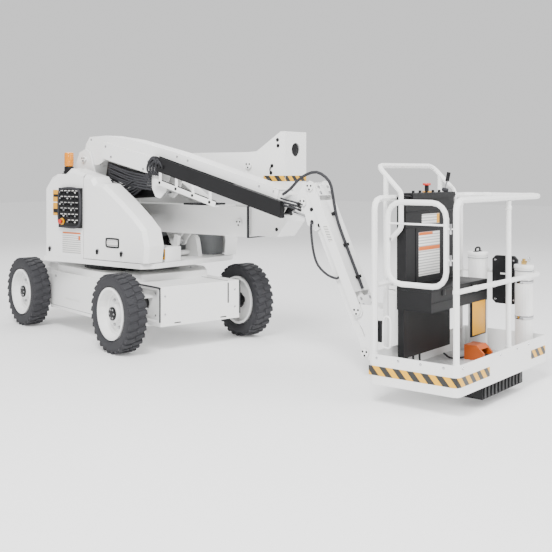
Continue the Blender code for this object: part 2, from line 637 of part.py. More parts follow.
jib = plate(capsule(JIB_TOP, -0.040, 0.035, 0.042), BOOM_Y - 0.0955, BOOM_Y + 0.0955)
cuts = []
for s0, s1, t1 in ((-0.2, 0.12, 0.2), (0.119, 0.811, 0.029), (0.81, 1.2, 0.2)):
    ends = [along_jib(s, t) for s, t in ((s0, -0.2), (s1, -0.2), (s1, t1), (s0, t1))]
    cuts.append(plate(ends, BOOM_Y - 0.0875, BOOM_Y + 0.0875))
cuts += [hole(JIB_TOP, -0.4, 0.0), hole(JIB_LOW, -0.4, 0.0)]
finish(combine(jib, cuts=cuts), "jib_arm", "jib_arm", "white")

link = plate(capsule(LINK_TOP, -0.0295, 0.0265, 0.028), BOOM_Y - 0.066, BOOM_Y + 0.066)
cuts = []
for s0, s1, t0 in ((-0.2, 0.25, -0.2), (0.249, 0.751, -0.0225), (0.75, 1.2, -0.2)):
    ends = [along_jib(s, t, LINK_TOP) for s, t in ((s0, t0), (s1, t0), (s1, 0.2), (s0, 0.2))]
    cuts.append(plate(ends, BOOM_Y - 0.054, BOOM_Y + 0.054))
cuts += [hole(LINK_TOP, -0.4, 0.0, 0.0184), hole(LINK_LOW, -0.4, 0.0)]
finish(combine(link, cuts=cuts), "jib_link", "jib_link", "white")

# Platform mount with the rotary actuator
outline = [(2.565, 0.43), (2.57, 0.48), (2.61, 0.50), (2.72, 0.50), (2.85, 0.47), (2.85, 0.22)]
outline += [(2.755, 0.205), (2.72, 0.135), (2.645, 0.138), (2.63, 0.19), (2.66, 0.30)]
mount = plate(outline, BOOM_Y - 0.082, BOOM_Y - 0.070)
spot = (ROTATOR_X, BOOM_Y)
adds = [plate(outline, BOOM_Y + 0.070, BOOM_Y + 0.082)]
adds += [bar((*spot, 0.20), (*spot, 0.62), 0.09, 20)]
adds += [bar((*spot, 0.158), (*spot, 0.660), 0.03, 16)]
adds += [pin(LINK_LOW, BOOM_Y - 0.088, BOOM_Y + 0.088)]
adds += [pin(JIB_LOW, BOOM_Y - 0.10, BOOM_Y - 0.069), pin(JIB_LOW, BOOM_Y + 0.069, BOOM_Y + 0.10)]
finish(combine(mount, adds=adds), "platform_mount", "platform_mount", "white")

# Platform bracket, around the actuator's shaft
cap = [(PLATFORM_X[0] - 0.02, BOOM_Y - 0.11), (PLATFORM_X[0] - 0.02, BOOM_Y + 0.11)]
cap += disc(spot, 0.09, 16, 90, 270)
bracket = box(
    (PLATFORM_X[0] - 0.055, BOOM_Y - 0.23, PLATFORM_Z + 0.001),
    (PLATFORM_X[0] - GAP, BOOM_Y + 0.23, 0.655),
)
adds = [slab(cap, 0.6255, 0.65), slab(cap, 0.17, 0.1945)]
cuts = [bar((*spot, 0.1), (*spot, 0.7), 0.0309, 16)]
finish(combine(bracket, adds, cuts), "platform_bracket", "platform", "white")

# Platform tray
WALL = 0.005
x0, x1 = PLATFORM_X
y0, y1 = PLATFORM_Y
floor = [(x0, y0 + 0.03), (x0 + 0.009, y0 + 0.009), (x0 + 0.03, y0), (x1 - 0.03, y0)]
floor += [(x1 - 0.009, y0 + 0.009), (x1, y0 + 0.03), (x1, y1), (x0, y1)]
tray = slab(floor, PLATFORM_Z, TOE_TOP)
room = slab(inset(floor, WALL), PLATFORM_Z + 0.032, TOE_TOP + 0.1)
finish(combine(tray, cuts=[room]), "platform_tray", "platform", "white")

# Guard rails: one loop with the two gate posts, a lower rail with two posts
post_r = 0.019
xb, xf = x0 + WALL + post_r + 0.002, x1 - WALL - post_r - 0.002
yn, yf = y0 + WALL + post_r + 0.008, y1 - WALL - post_r - 0.0005
stand = PLATFORM_Z + 0.032 + GAP
loop = [(xb, yn, stand), (xb, yn, RAIL_Z), (xb, yf, RAIL_Z), (xf, yf, RAIL_Z)]
loop += [(xf, yn, RAIL_Z), (xf, yn, stand)]
finish(tube(rounded(loop, 0.06, 3), post_r), "guard_rail", "platform", "white")
reach = yn + post_r + GAP
low_rail = [(xb, reach, MID_Z), (xb, yf, MID_Z), (xf, yf, MID_Z), (xf, reach, MID_Z)]
rail = tube(rounded(low_rail, 0.06, 3), 0.016)
top = RAIL_Z - post_r - GAP
adds = [bar((xb, 0.30, stand), (xb, 0.30, top), 0.0175, 12)]
adds += [bar((xf, -0.122, stand), (xf, -0.122, top), 0.0175, 12)]
finish(combine(rail, adds=adds), "mid_rail", "platform", "white")

# Gate, hinged on the front post
hoop = [(3.16, yn, 0.74), (3.55, yn, 0.74), (3.55, yn, 1.228), (3.16, yn, 1.228)]
gate = tube(rounded(hoop, 0.09, 4, True), 0.0165, True)
hinge_x = xf - post_r - 0.0195
frames["gate"][0].location.x += hinge_x - frames["gate"][1].x
frames["gate"][0].location.y += yn - frames["gate"][1].y
frames["gate"][1].x, frames["gate"][1].y = hinge_x, yn
adds = [bar((3.55, yn, z), (hinge_x + 0.0187, yn, z), 0.004, 8) for z in (0.90, 1.08)]
finish(combine(gate, adds=adds), "gate", "gate", "white")

# Control console on the back rail, with its tool box, lower panel and hanging flap
back_face = xb + post_r + GAP
console = box((back_face, -0.60, 0.675), (3.15, 0.04, 1.25))
adds = [box((back_face + 0.0005, -0.602, 0.545), (3.33, 0.17, 0.685))]
adds += [box((back_face + 0.001, -0.59, 0.24), (3.13, 0.02, 0.56))]
adds += [box((3.318, -0.06, 0.32), (3.3285, 0.15, 0.56))]
adds += [box((back_face + 0.02, -0.56, 1.24), (3.18, 0.0, 1.275))]
adds += [bar((3.13, -0.30, 1.27), (3.13, -0.30, 1.32), 0.014, 10)]
finish(combine(console, adds=adds), "console", "platform", "black")

guard_x = xb - post_r - 0.0165 - GAP
bow = [(guard_x, 0.95), (3.14, 1.06), (3.14, 1.28), (2.97, 1.448)]
path = [(x, -0.64, z) for x, z in bow] + [(x, 0.065, z) for x, z in reversed(bow)]
guard = tube(rounded(path, 0.05, 3), 0.0165)
adds = []
for y in (-0.64, 0.065):
    adds.append(bar((guard_x, y, TOE_TOP + GAP), (guard_x, y, 1.385), 0.0163, 12))
finish(combine(guard, adds=adds), "console_guard", "platform", "white")

# Things on the platform
pedal = [(3.25, stand), (3.39, stand), (3.39, stand + 0.05), (3.34, stand + 0.10)]
pedal += [(3.25, stand + 0.10)]
shoe = plate(pedal, -0.01, 0.13)
room = box((3.28, 0.01, stand + 0.02), (3.45, 0.11, stand + 0.075))
finish(combine(shoe, cuts=[room]), "foot_switch", "platform", "amber")

tank = [(stand, 0.0665), (0.80, 0.0665), (0.801, 0.0685), (0.85, 0.0685)]
tank = [(z, disc((3.20, 0.296), r, 20)) for z, r in tank]
finish(lofted(tank, 2), "canister_back", "platform", "white")
tank = [(stand, 0.060), (0.74, 0.060), (0.741, 0.062), (0.78, 0.062)]
tank = [(z, disc((xf - post_r - 0.063, yf - post_r - 0.064), r, 20)) for z, r in tank]
finish(lofted(tank, 2), "canister_front", "platform", "white")

pad = [(3.31, 0.50), (3.44, 0.50), (3.465, 0.525), (3.465, 0.805), (3.44, 0.83), (3.31, 0.83)]
pad += [(3.285, 0.805), (3.285, 0.525)]
pad_back = yf - 0.016 - GAP
finish(plate(pad, pad_back - 0.03, pad_back), "side_panel", "platform", "black")

step = box((3.50, -0.527, 0.05), (3.63, 0.055, PLATFORM_Z - GAP))
cut = box((3.45, -0.50, 0.062), (3.615, 0.03, 0.112))
finish(combine(step, cuts=[cut]), "step", "platform", "black")

# Hoses
def smooth(points, count):
    """Points along a smooth curve through the given ones."""
    points = [Vector(point) for point in points]
    points = [points[0] * 2 - points[1]] + points + [points[-1] * 2 - points[-2]]
    path = []
    for i in range(1, len(points) - 2):
        a, b, c, d = points[i - 1 : i + 3]
        for k in range(count):
            t = k / count
            part = 2 * b + (c - a) * t + (2 * a - 5 * b + 4 * c - d) * t * t
            path.append((part + (3 * b - a - 3 * c + d) * t**3) / 2)
    return path + [points[-2]]


route = [(1.9604, -0.325, 1.243), (2.03, -0.325, 1.285), (2.13, -0.32, 1.37)]
route += [(2.25, -0.305, 1.406), (2.335, -0.27, 1.34), (2.345, -0.235, 1.22)]
for s, t in ((0.25, 0.060), (0.35, 0.050), (0.55, 0.0475), (0.80, 0.0463)):
    route.append((along_jib(s, t)[0], BOOM_Y, along_jib(s, t)[1]))
finish(tube(smooth(route, 3), 0.011), "upper_hose", "jib_arm", "rubber")
route = [(2.215, BOOM_Y - 0.0831, 1.045), (2.215, -0.311, 1.045), (2.2155, -0.32, 1.038)]
route += [(2.217, -0.326, 1.02), (2.222, -0.328, 0.95)]
route += [(2.24, -0.325, 0.83), (2.275, -0.32, 0.745), (2.35, -0.315, 0.685)]
route += [(x, BOOM_Y - 0.0915, z) for x, z in (along_jib(0.67, t) for t in (-0.07, -0.0420))]
finish(tube(smooth(route, 3), 0.009), "lower_hose", "jib_arm", "rubber")

# The whole machine stands with its origin under the middle of its box
bpy.context.view_layer.update()
lowest, highest = 1e9, -1e9
for obj in bpy.data.objects:
    if obj.type == "MESH" and not obj.hide_render:
        for corner in obj.bound_box:
            x = (obj.matrix_world @ Vector(corner)).x
            lowest, highest = min(lowest, x), max(highest, x)
frames["ground"][0].location.x -= (lowest + highest) / 2
bpy.context.view_layer.update()
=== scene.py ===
"""Looks, fine parts, light and camera of the articulating boom lift, over its CAD solids."""

import json
import math

import bpy
from mathutils import Matrix, Vector


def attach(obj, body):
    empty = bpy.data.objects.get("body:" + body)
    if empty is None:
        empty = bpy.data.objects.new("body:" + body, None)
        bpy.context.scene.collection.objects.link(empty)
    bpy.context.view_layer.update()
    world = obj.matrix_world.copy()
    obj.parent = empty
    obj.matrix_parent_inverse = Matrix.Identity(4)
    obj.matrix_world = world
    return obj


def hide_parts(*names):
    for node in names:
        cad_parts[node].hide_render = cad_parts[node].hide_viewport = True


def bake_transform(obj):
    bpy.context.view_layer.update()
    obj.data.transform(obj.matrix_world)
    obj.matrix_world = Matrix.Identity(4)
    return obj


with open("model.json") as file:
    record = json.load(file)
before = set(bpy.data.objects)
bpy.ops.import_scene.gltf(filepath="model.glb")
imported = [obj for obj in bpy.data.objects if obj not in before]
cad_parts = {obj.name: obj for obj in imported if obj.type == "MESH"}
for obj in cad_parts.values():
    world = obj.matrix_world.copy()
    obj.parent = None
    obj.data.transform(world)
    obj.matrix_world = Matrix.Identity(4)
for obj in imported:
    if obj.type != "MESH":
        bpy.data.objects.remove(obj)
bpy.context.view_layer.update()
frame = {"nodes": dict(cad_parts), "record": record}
nodes = frame["nodes"]

# From the turret's axis to the origin, the boom's fall, the chassis's heading, the boom's middle
SHIFT = -1.18376
SLOPE = math.radians(14.9)
TURN = math.radians(-12.4)
BOOM_Y = -0.22
DIRT = (0.16, 0.14, 0.12, 1)


# Materials
def shade(
    name, colour, rough, metal=0.0, vary=0.10, scale=5.0, bump=0.02, grain=60.0, dirt=0.0, gleam=0.5
):
    """Paint, plastic or metal: the colour drifts, the gloss is uneven and dirt lies in spots."""
    made = bpy.data.materials.new(name)
    made.use_nodes = True
    tree = made.node_tree
    shader = tree.nodes["Principled BSDF"]
    shader.inputs["Metallic"].default_value = metal
    shader.inputs["Specular IOR Level"].default_value = gleam
    place = tree.nodes.new("ShaderNodeTexCoord")
    broad = tree.nodes.new("ShaderNodeTexNoise")
    broad.inputs["Scale"].default_value = scale
    broad.inputs["Detail"].default_value = 6.0
    fine = tree.nodes.new("ShaderNodeTexNoise")
    fine.inputs["Scale"].default_value = grain
    fine.inputs["Detail"].default_value = 4.0
    for texture in (broad, fine):
        tree.links.new(place.outputs["Object"], texture.inputs["Vector"])
    tint = tree.nodes.new("ShaderNodeMix")
    tint.data_type = "RGBA"
    tint.inputs[6].default_value = (*[c * (1 - vary) for c in colour], 1)
    tint.inputs[7].default_value = (*[min(1, c * (1 + vary * 0.5)) for c in colour], 1)
    tree.links.new(broad.outputs["Fac"], tint.inputs[0])
    last = tint.outputs[2]
    if dirt:
        spots = tree.nodes.new("ShaderNodeMapRange")
        spots.inputs["From Min"].default_value = 0.58
        spots.inputs["From Max"].default_value = 0.78
        spots.inputs["To Max"].default_value = dirt
        tree.links.new(fine.outputs["Fac"], spots.inputs["Value"])
        worn = tree.nodes.new("ShaderNodeMix")
        worn.data_type = "RGBA"
        worn.inputs[7].default_value = DIRT
        tree.links.new(spots.outputs["Result"], worn.inputs[0])
        tree.links.new(last, worn.inputs[6])
        last = worn.outputs[2]
    tree.links.new(last, shader.inputs["Base Color"])
    gloss = tree.nodes.new("ShaderNodeMapRange")
    gloss.inputs["To Min"].default_value = max(0.02, rough - 0.08)
    gloss.inputs["To Max"].default_value = min(1.0, rough + 0.10)
    tree.links.new(fine.outputs["Fac"], gloss.inputs["Value"])
    tree.links.new(gloss.outputs["Result"], shader.inputs["Roughness"])
    lift = tree.nodes.new("ShaderNodeBump")
    lift.inputs["Strength"].default_value = bump
    lift.inputs["Distance"].default_value = 0.002
    tree.links.new(fine.outputs["Fac"], lift.inputs["Height"])
    tree.links.new(lift.outputs["Normal"], shader.inputs["Normal"])
    return made


def banded(name, dark, light, period, lean, share=0.5):
    """Slanted warning bands over a piece, by its place."""
    made = shade(name, light, 0.35, vary=0.05)
    tree = made.node_tree
    place = next(n for n in tree.nodes if n.type == "TEX_COORD")
    apart = tree.nodes.new("ShaderNodeSeparateXYZ")
    tree.links.new(place.outputs["Object"], apart.inputs["Vector"])
    sums = None
    for axis, weight in zip("XYZ", lean):
        times = tree.nodes.new("ShaderNodeMath")
        times.operation = "MULTIPLY"
        times.inputs[1].default_value = weight / period
        tree.links.new(apart.outputs[axis], times.inputs[0])
        if sums is None:
            sums = times.outputs[0]
            continue
        plus = tree.nodes.new("ShaderNodeMath")
        tree.links.new(sums, plus.inputs[0])
        tree.links.new(times.outputs[0], plus.inputs[1])
        sums = plus.outputs[0]
    part = tree.nodes.new("ShaderNodeMath")
    part.operation = "FRACT"
    tree.links.new(sums, part.inputs[0])
    step = tree.nodes.new("ShaderNodeMath")
    step.operation = "GREATER_THAN"
    step.inputs[1].default_value = share
    tree.links.new(part.outputs[0], step.inputs[0])
    pick = tree.nodes.new("ShaderNodeMix")
    pick.data_type = "RGBA"
    pick.inputs[7].default_value = (*dark, 1)
    shader = tree.nodes["Principled BSDF"]
    old = shader.inputs["Base Color"].links[0].from_socket
    tree.links.new(old, pick.inputs[6])
    tree.links.new(step.outputs[0], pick.inputs[0])
    tree.links.new(pick.outputs[2], shader.inputs["Base Color"])
    return made


WHITE = shade("white_paint", (0.86, 0.86, 0.85), 0.34, vary=0.03, dirt=0.05)
BLACK = shade("black_paint", (0.006, 0.006, 0.007), 0.42, vary=0.3, dirt=0.03, gleam=0.25)
PLASTIC = shade(
    "black_plastic", (0.008, 0.008, 0.009), 0.45, vary=0.3, bump=0.12, grain=220.0, gleam=0.28
)
# Rubber and bare steel keep the plain looks that come with the solids
RUBBER = bpy.data.materials["rubber"]
STEEL = bpy.data.materials["steel"]
CHROME = shade("chrome", (0.62, 0.62, 0.63), 0.16, metal=1.0, vary=0.06, bump=0.0)
GREY = shade("grey_paint", (0.28, 0.29, 0.30), 0.5)
AMBER = shade("amber_lens", (0.72, 0.24, 0.0), 0.12, vary=0.25, bump=0.0, scale=40.0)
PEDAL = shade("pedal_orange", (0.50, 0.09, 0.005), 0.45, vary=0.2, dirt=0.1)
YELLOW = shade("yellow", (0.72, 0.33, 0.0), 0.42, vary=0.12, dirt=0.1)
BRASS = shade("brass", (0.65, 0.42, 0.13), 0.28, metal=1.0)
RED = shade("red", (0.55, 0.03, 0.02), 0.35)
HEADER = shade("label_orange", (0.62, 0.13, 0.01), 0.4, vary=0.05)
TREAD = shade("tread_plate", (0.62, 0.62, 0.62), 0.42, vary=0.12, bump=0.5, grain=90.0, dirt=0.3)
LABEL = banded("label", (0.36, 0.36, 0.36), (0.78, 0.77, 0.74), 0.018, (0, 0, 1), 0.62)
HAZARD = banded("hazard", (0.015, 0.015, 0.015), (0.78, 0.40, 0.0), 0.095, (1, 1, 0.9))

LOOK = {"white": WHITE, "black": BLACK, "plastic": PLASTIC}
LOOK |= {"rubber": RUBBER, "tyre": RUBBER, "steel": CHROME, "grey": GREY, "amber": AMBER}
for part in frame["record"]["subparts"]:
    node = nodes[part["node"]]
    node.data.materials.clear()
    node.data.materials.append(LOOK[part["material_slot"]])
for name, look in (("foot_switch", PEDAL), ("turret_base", WHITE)):
    nodes[name].data.materials.clear()
    nodes[name].data.materials.append(look)


# Modelling
def fresh():
    """Leaves edit mode and deselects everything."""
    if bpy.context.object and bpy.context.object.mode == "EDIT":
        bpy.ops.object.mode_set(mode="OBJECT")
    bpy.ops.object.select_all(action="DESELECT")


def settle(name, look, body, smooth=30):
    """Fixes the piece's place in its mesh, names it, paints it and hangs it on its body."""
    obj = bpy.context.object
    if obj.mode == "EDIT":
        bpy.ops.object.mode_set(mode="OBJECT")
    bpy.ops.object.transform_apply(location=True, rotation=True, scale=True)
    obj.name = name
    obj.data.materials.clear()
    obj.data.materials.append(look)
    obj.data.shade_smooth()
    obj.data.set_sharp_from_angle(angle=math.radians(smooth))
    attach(obj, body)
    return obj


def at(x, y, z):
    """A point given from the turret's axis, in the object's own frame."""
    return (x + SHIFT, y, z)


def block(name, low, high, look, body, edge=0.003, turn=None, pivot=None, axis="Y"):
    """A box with rounded edges, turned about the line through a pivot if asked."""
    fresh()
    middle = [(a + b) / 2 for a, b in zip(low, high)]
    bpy.ops.mesh.primitive_cube_add(size=1.0, location=at(*middle))
    obj = bpy.context.object
    obj.scale = [b - a for a, b in zip(low, high)]
    bpy.ops.object.transform_apply(location=True, rotation=True, scale=True)
    bpy.ops.object.mode_set(mode="EDIT")
    bpy.ops.mesh.select_all(action="SELECT")
    if edge:
        bpy.ops.mesh.bevel(offset=edge, segments=2, affect="EDGES")
    bpy.ops.object.mode_set(mode="OBJECT")
    if turn:
        centre = Vector(at(*(pivot or middle)))
        spin = Matrix.Rotation(turn, 4, axis)
        obj.data.transform(Matrix.Translation(centre) @ spin @ Matrix.Translation(-centre))
    return settle(name, look, body)


def rod(name, start, end, radius, look, body, sides=24, edge=0.0015):
    """A round bar with eased ends."""
    fresh()
    a, b = Vector(at(*start)), Vector(at(*end))
    way = b - a
    turn = Vector((0, 0, 1)).rotation_difference(way).to_euler()
    bpy.ops.mesh.primitive_cylinder_add(
        vertices=sides, radius=radius, depth=way.length, location=(a + b) / 2, rotation=turn
    )
    obj = bpy.context.object
    step = obj.modifiers.new("edge", "BEVEL")
    step.width = min(edge, way.length * 0.3, radius * 0.3)
    step.segments = 2
    bpy.ops.object.modifier_apply(modifier="edge")
    return settle(name, look, body)


BOLTS = {}


def bolt(name, place, axis, radius, look, body, height=0.006):
    """A hexagon head on a washer, modelled once for each size and copied."""
    size = (radius, height)
    if size not in BOLTS:
        foot = (-SHIFT, 0, 0)
        head = rod(name, foot, (-SHIFT, 0, height), radius, look, body, 6, 0.001)
        washer = rod(name, foot, (-SHIFT, 0, 0.002), radius * 1.35, look, body, 20, 0.0005)
        whole = joined([head, washer], name)
        BOLTS[size] = whole.data.copy()
        bpy.data.objects.remove(whole, do_unlink=True)
    turn = Vector((0, 0, 1)).rotation_difference(Vector(axis)).to_matrix().to_4x4()
    return copied(name, BOLTS[size], Matrix.Translation(at(*place)) @ turn, look, body)


def copied(name, mesh, place, look, body):
    """One more of a piece, with its own mesh moved into place."""
    obj = bpy.data.objects.new(name, mesh.copy())
    bpy.context.collection.objects.link(obj)
    obj.data.transform(place)
    obj.data.materials.clear()
    obj.data.materials.append(look)
    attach(obj, body)
    return obj


def joined(objs, name):
    """Several pieces of one body, joined into one object."""
    fresh()
    for obj in objs:
        obj.select_set(True)
    bpy.context.view_layer.objects.active = objs[0]
    bpy.ops.object.join()
    bpy.context.object.name = name
    return bpy.context.object


def hose(name, points, radius, look, body, steps=6, sides=3):
    """A hose or tube through points along a smooth curve, as a mesh."""
    fresh()
    spots = [Vector(at(*point)) for point in points]
    spots = [spots[0] * 2 - spots[1]] + spots + [spots[-1] * 2 - spots[-2]]
    path = []
    for i in range(1, len(spots) - 2):
        a, b, c, d = spots[i - 1 : i + 3]
        for k in range(steps):
            t = k / steps
            part = 2 * b + (c - a) * t + (2 * a - 5 * b + 4 * c - d) * t * t
            path.append((part + (3 * b - a - 3 * c + d) * t**3) / 2)
    path.append(spots[-2])
    curve = bpy.data.curves.new(name, "CURVE")
    curve.dimensions = "3D"
    curve.bevel_depth = radius
    curve.bevel_resolution = sides
    curve.use_fill_caps = True
    spline = curve.splines.new("POLY")
    spline.points.add(len(path) - 1)
    for point, spot in zip(spline.points, path):
        point.co = (*spot, 1)
    obj = bpy.data.objects.new(name, curve)
    bpy.context.collection.objects.link(obj)
    bpy.context.view_layer.objects.active = obj
    obj.select_set(True)
    bpy.ops.object.convert(target="MESH")
    return settle(name, look, body, 40)


def ring(name, centre, inner, outer, low, high, edge, look, body, steps=64):
    """A turned ring with a rounded square section about a Y line."""
    fresh()
    bpy.ops.mesh.primitive_plane_add(size=1.0)
    obj = bpy.context.object
    obj.scale = (outer - inner, high - low, 1)
    obj.location = ((inner + outer) / 2, (low + high) / 2, 0)
    bpy.ops.object.transform_apply(location=True, rotation=True, scale=True)
    bpy.ops.object.mode_set(mode="EDIT")
    bpy.ops.mesh.select_all(action="SELECT")
    bpy.ops.mesh.bevel(offset=edge, segments=4, affect="VERTICES")
    bpy.ops.mesh.delete(type="ONLY_FACE")
    bpy.ops.object.mode_set(mode="OBJECT")
    step = obj.modifiers.new("turn", "SCREW")
    step.axis = "Y"
    step.steps = step.render_steps = steps
    step.use_merge_vertices = True
    step.merge_threshold = 0.00005
    bpy.ops.object.modifier_apply(modifier="turn")
    bpy.ops.object.mode_set(mode="EDIT")
    bpy.ops.mesh.select_all(action="SELECT")
    bpy.ops.mesh.normals_make_consistent(inside=False)
    bpy.ops.object.mode_set(mode="OBJECT")
    obj.data.transform(Matrix.Translation(Vector(centre)))
    return settle(name, look, body, 35)


def turned_about_ground(obj):
    """Turns a piece built along the chassis to the chassis's own heading."""
    obj.data.transform(
        Matrix.Translation((SHIFT, 0, 0))
        @ Matrix.Rotation(TURN, 4, "Z")
        @ Matrix.Translation((-SHIFT, 0, 0))
    )
    return obj


# Wheels: tyre with lugs, rim trims, nuts and hub cap
WHEEL_X = 0.8415
HUB_Z = 0.309
TYRE_NEAR, TYRE_FAR = 0.529, 0.692
TYRE_BORE, TYRE_WALL = 0.2052, 0.302
LUGS = 30
LUG_LEAN = math.radians(14)
LUG_ROWS = ((0.532, 0.612), (0.609, 0.689))
LUG_FOOT, LUG_TOP, LUG_HALF = 0.285, 0.3085, 0.020
NUTS, NUT_CIRCLE, NUT_SEAT = 9, 0.11, 0.612
CAP_FOOT, CAP_FACE = 0.655, 0.672
CAP_BOLTS, CAP_CIRCLE = 6, 0.036
for end, x in (("front", WHEEL_X), ("rear", -WHEEL_X)):
    for side, sign in (("right", -1), ("left", 1)):
        tail = end + "_" + side
        body = end + "_wheel_" + side
        low, high = sorted((sign * TYRE_NEAR, sign * TYRE_FAR))
        centre = (x + SHIFT, 0, HUB_Z)
        name = tail + "_tyre"
        tyre = ring(name, centre, TYRE_BORE, TYRE_WALL, low, high, 0.03, RUBBER, body)
        parts = [tyre]
        pivot = Vector(centre)
        for row, (a, b) in enumerate(LUG_ROWS):
            lug_low, lug_high = sorted((sign * a, sign * b))
            low_corner = (x - LUG_HALF, lug_low, HUB_Z + LUG_FOOT)
            high_corner = (x + LUG_HALF, lug_high, HUB_Z + LUG_TOP)
            name = "%s_lug_%d" % (tail, row)
            lug = block(name, low_corner, high_corner, RUBBER, body, 0.004, LUG_LEAN, axis="Z")
            first = lug.data.copy()
            for k in range(LUGS):
                step = 2 * math.pi * (k + row / 2) / LUGS
                if k:
                    lug = bpy.data.objects.new("%s_%d" % (name, k), first.copy())
                    bpy.context.collection.objects.link(lug)
                around = Matrix.Rotation(step, 4, "Y")
                lug.data.transform(Matrix.Translation(pivot) @ around @ Matrix.Translation(-pivot))
                parts.append(lug)
        whole = joined(parts, tail + "_tyre")
        turned_about_ground(whole)
        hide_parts("tyre_" + tail)
        trim = []
        low, high = sorted((sign * 0.680, sign * 0.690))
        trim.append(ring(tail + "_flange", centre, 0.186, 0.2049, low, high, 0.003, WHITE, body))
        low, high = sorted((sign * 0.611, sign * 0.622))
        trim.append(ring(tail + "_step", centre, 0.150, 0.182, low, high, 0.003, WHITE, body))
        for k in range(NUTS):
            angle = 2 * math.pi * k / NUTS
            across, up = NUT_CIRCLE * math.cos(angle), NUT_CIRCLE * math.sin(angle)
            spot = (x + across, sign * NUT_SEAT, HUB_Z + up)
            name = "%s_nut_%d" % (tail, k)
            trim.append(bolt(name, spot, (0, sign, 0), 0.011, STEEL, body, 0.014))
        foot = (x, sign * CAP_FOOT, HUB_Z)
        face = (x, sign * CAP_FACE, HUB_Z)
        trim.append(rod(tail + "_cap", foot, face, 0.052, BLACK, body))
        for k in range(CAP_BOLTS):
            angle = 2 * math.pi * k / CAP_BOLTS
            across, up = CAP_CIRCLE * math.cos(angle), CAP_CIRCLE * math.sin(angle)
            spot = (x + across, sign * CAP_FACE, HUB_Z + up)
            name = "%s_bolt_%d" % (tail, k)
            trim.append(bolt(name, spot, (0, sign, 0), 0.006, STEEL, body, 0.005))
        for piece in trim:
            turned_about_ground(piece)


# Turret: ground controls, labels, latches, louvres, beacon and valve box
def ledge(name, corners, y, radius, look, body):
    """A rounded trim that goes once round a rectangle on a side wall."""
    (x0, z0), (x1, z1) = corners
    cut = min(x1 - x0, z1 - z0) * 0.18
    path = [(x0 + cut, z0), (x1 - cut, z0), (x1, z0 + cut), (x1, z1 - cut)]
    path += [(x1 - cut, z1), (x0 + cut, z1), (x0, z1 - cut), (x0, z0 + cut), (x0 + cut, z0)]
    return hose(name, [(x, y, z) for x, z in path], radius, look, body, 5)


# The covers' side walls, and the spacing of the switches
COVER = 0.5602
PITCH = 0.050
LEVER_LOOKS = (STEEL, BLACK, GREY, BLACK, LABEL)
block("control_plate", (-0.283, -0.5880, 0.947), (-0.022, -0.5848, 1.253), BLACK, "turret", 0.001)
ledge("control_frame", ((-0.292, 0.938), (-0.013, 1.262)), -0.585, 0.011, RUBBER, "turret")
first_spot = (-0.252, -0.5878, 1.228)
knob = rod("switch", first_spot, (-0.252, -0.600, 1.228), 0.010, BLACK, "turret", 16, 0.001)
lever = block("lever", (-0.255, -0.612, 1.226), (-0.249, -0.599, 1.238), STEEL, "turret", 0.001)
mark = block("mark", (-0.268, -0.5886, 1.243), (-0.236, -0.5879, 1.250), LABEL, "turret", 0.0002)
for row in range(6):
    for column in range(5):
        if row + column == 0 or (row == 5 and column < 2):
            continue
        place = Matrix.Translation((PITCH * column, 0, -PITCH * row))
        tail = "_%d_%d" % (row, column)
        copied("switch" + tail, knob.data, place, BLACK, "turret")
        look = LEVER_LOOKS[(row * 2 + column) % 5]
        copied("lever" + tail, lever.data, place, look, "turret")
        copied("mark" + tail, mark.data, place, LABEL, "turret")
rod("stop_collar", (-0.243, -0.588, 0.982), (-0.243, -0.594, 0.982), 0.030, YELLOW, "turret")
rod("stop_stem", (-0.243, -0.594, 0.982), (-0.243, -0.606, 0.982), 0.011, BLACK, "turret")
rod("stop_button", (-0.243, -0.606, 0.982), (-0.243, -0.622, 0.982), 0.021, RED, "turret", 32, 0.006)

for name, low, high, look in (
    ("cover_label", (-0.275, 0.712), (-0.030, 0.893), LABEL),
    ("cover_label_header", (-0.273, 0.878), (-0.032, 0.891), HEADER),
    ("cover_label_mark", (-0.062, 0.828), (-0.036, 0.862), HEADER),
    ("warning_upper", (-0.405, 1.148), (-0.335, 1.250), YELLOW),
    ("warning_upper_bar", (-0.400, 1.190), (-0.340, 1.212), BLACK),
    ("warning_lower", (-0.405, 1.030), (-0.335, 1.138), YELLOW),
    ("warning_lower_bar", (-0.400, 1.052), (-0.340, 1.086), BLACK),
):
    proud = 0.0012 if look in (LABEL, YELLOW) else 0.0018
    low, high = (low[0], -COVER - proud, low[1]), (high[0], -COVER, high[1])
    block(name, low, high, look, "turret", 0.0003)

for body, sign, spots in (
    ("right_door", -1, ((0.186, 0.747), (0.483, 0.744))),
    ("turret", -1, ((-0.445, 0.739),)),
    ("left_cover", 1, ((-0.40, 0.747), (0.0, 0.747), (0.483, 0.744))),
):
    for x, z in spots:
        name = "latch_%s_%d" % (body, round(100 * x))
        near = sign * COVER
        rim = near + sign * 0.006
        far = near + sign * 0.016
        rod(name, (x, near, z), (x, rim, z), 0.021, STEEL, body, 28, 0.002)
        rod(name + "_knob", (x, rim, z), (x, far, z), 0.014, BLACK, body, 6, 0.003)
        low = (x - 0.004, min(near, far) - 0.002, z - 0.026)
        high = (x + 0.004, max(near, far) + 0.002, z + 0.004)
        block(name + "_grip", low, high, BLACK, body, 0.002)
for body, sign in (("right_door", -1), ("left_cover", 1)):
    ledge(body + "_handle", ((0.295, 0.790), (0.445, 0.858)), sign * 0.561, 0.007, BLACK, body)
    for k in range(2):
        z = 0.803 + 0.024 * k
        near, far = sorted((sign * COVER, sign * 0.5640))
        low, high = (0.306, near, z), (0.434, far, z + 0.017)
        block("%s_bar_%d" % (body, k), low, high, LABEL, body, 0.001)
LOUVRE_Z, LOUVRE_STEP = 0.96, 0.026
for k in range(9):
    z = LOUVRE_Z + LOUVRE_STEP * k
    low, high = (-0.36, 0.5600, z), (-0.12, 0.5650, z + 0.012)
    block("louvre_%d" % k, low, high, BLACK, "left_cover", 0.002)
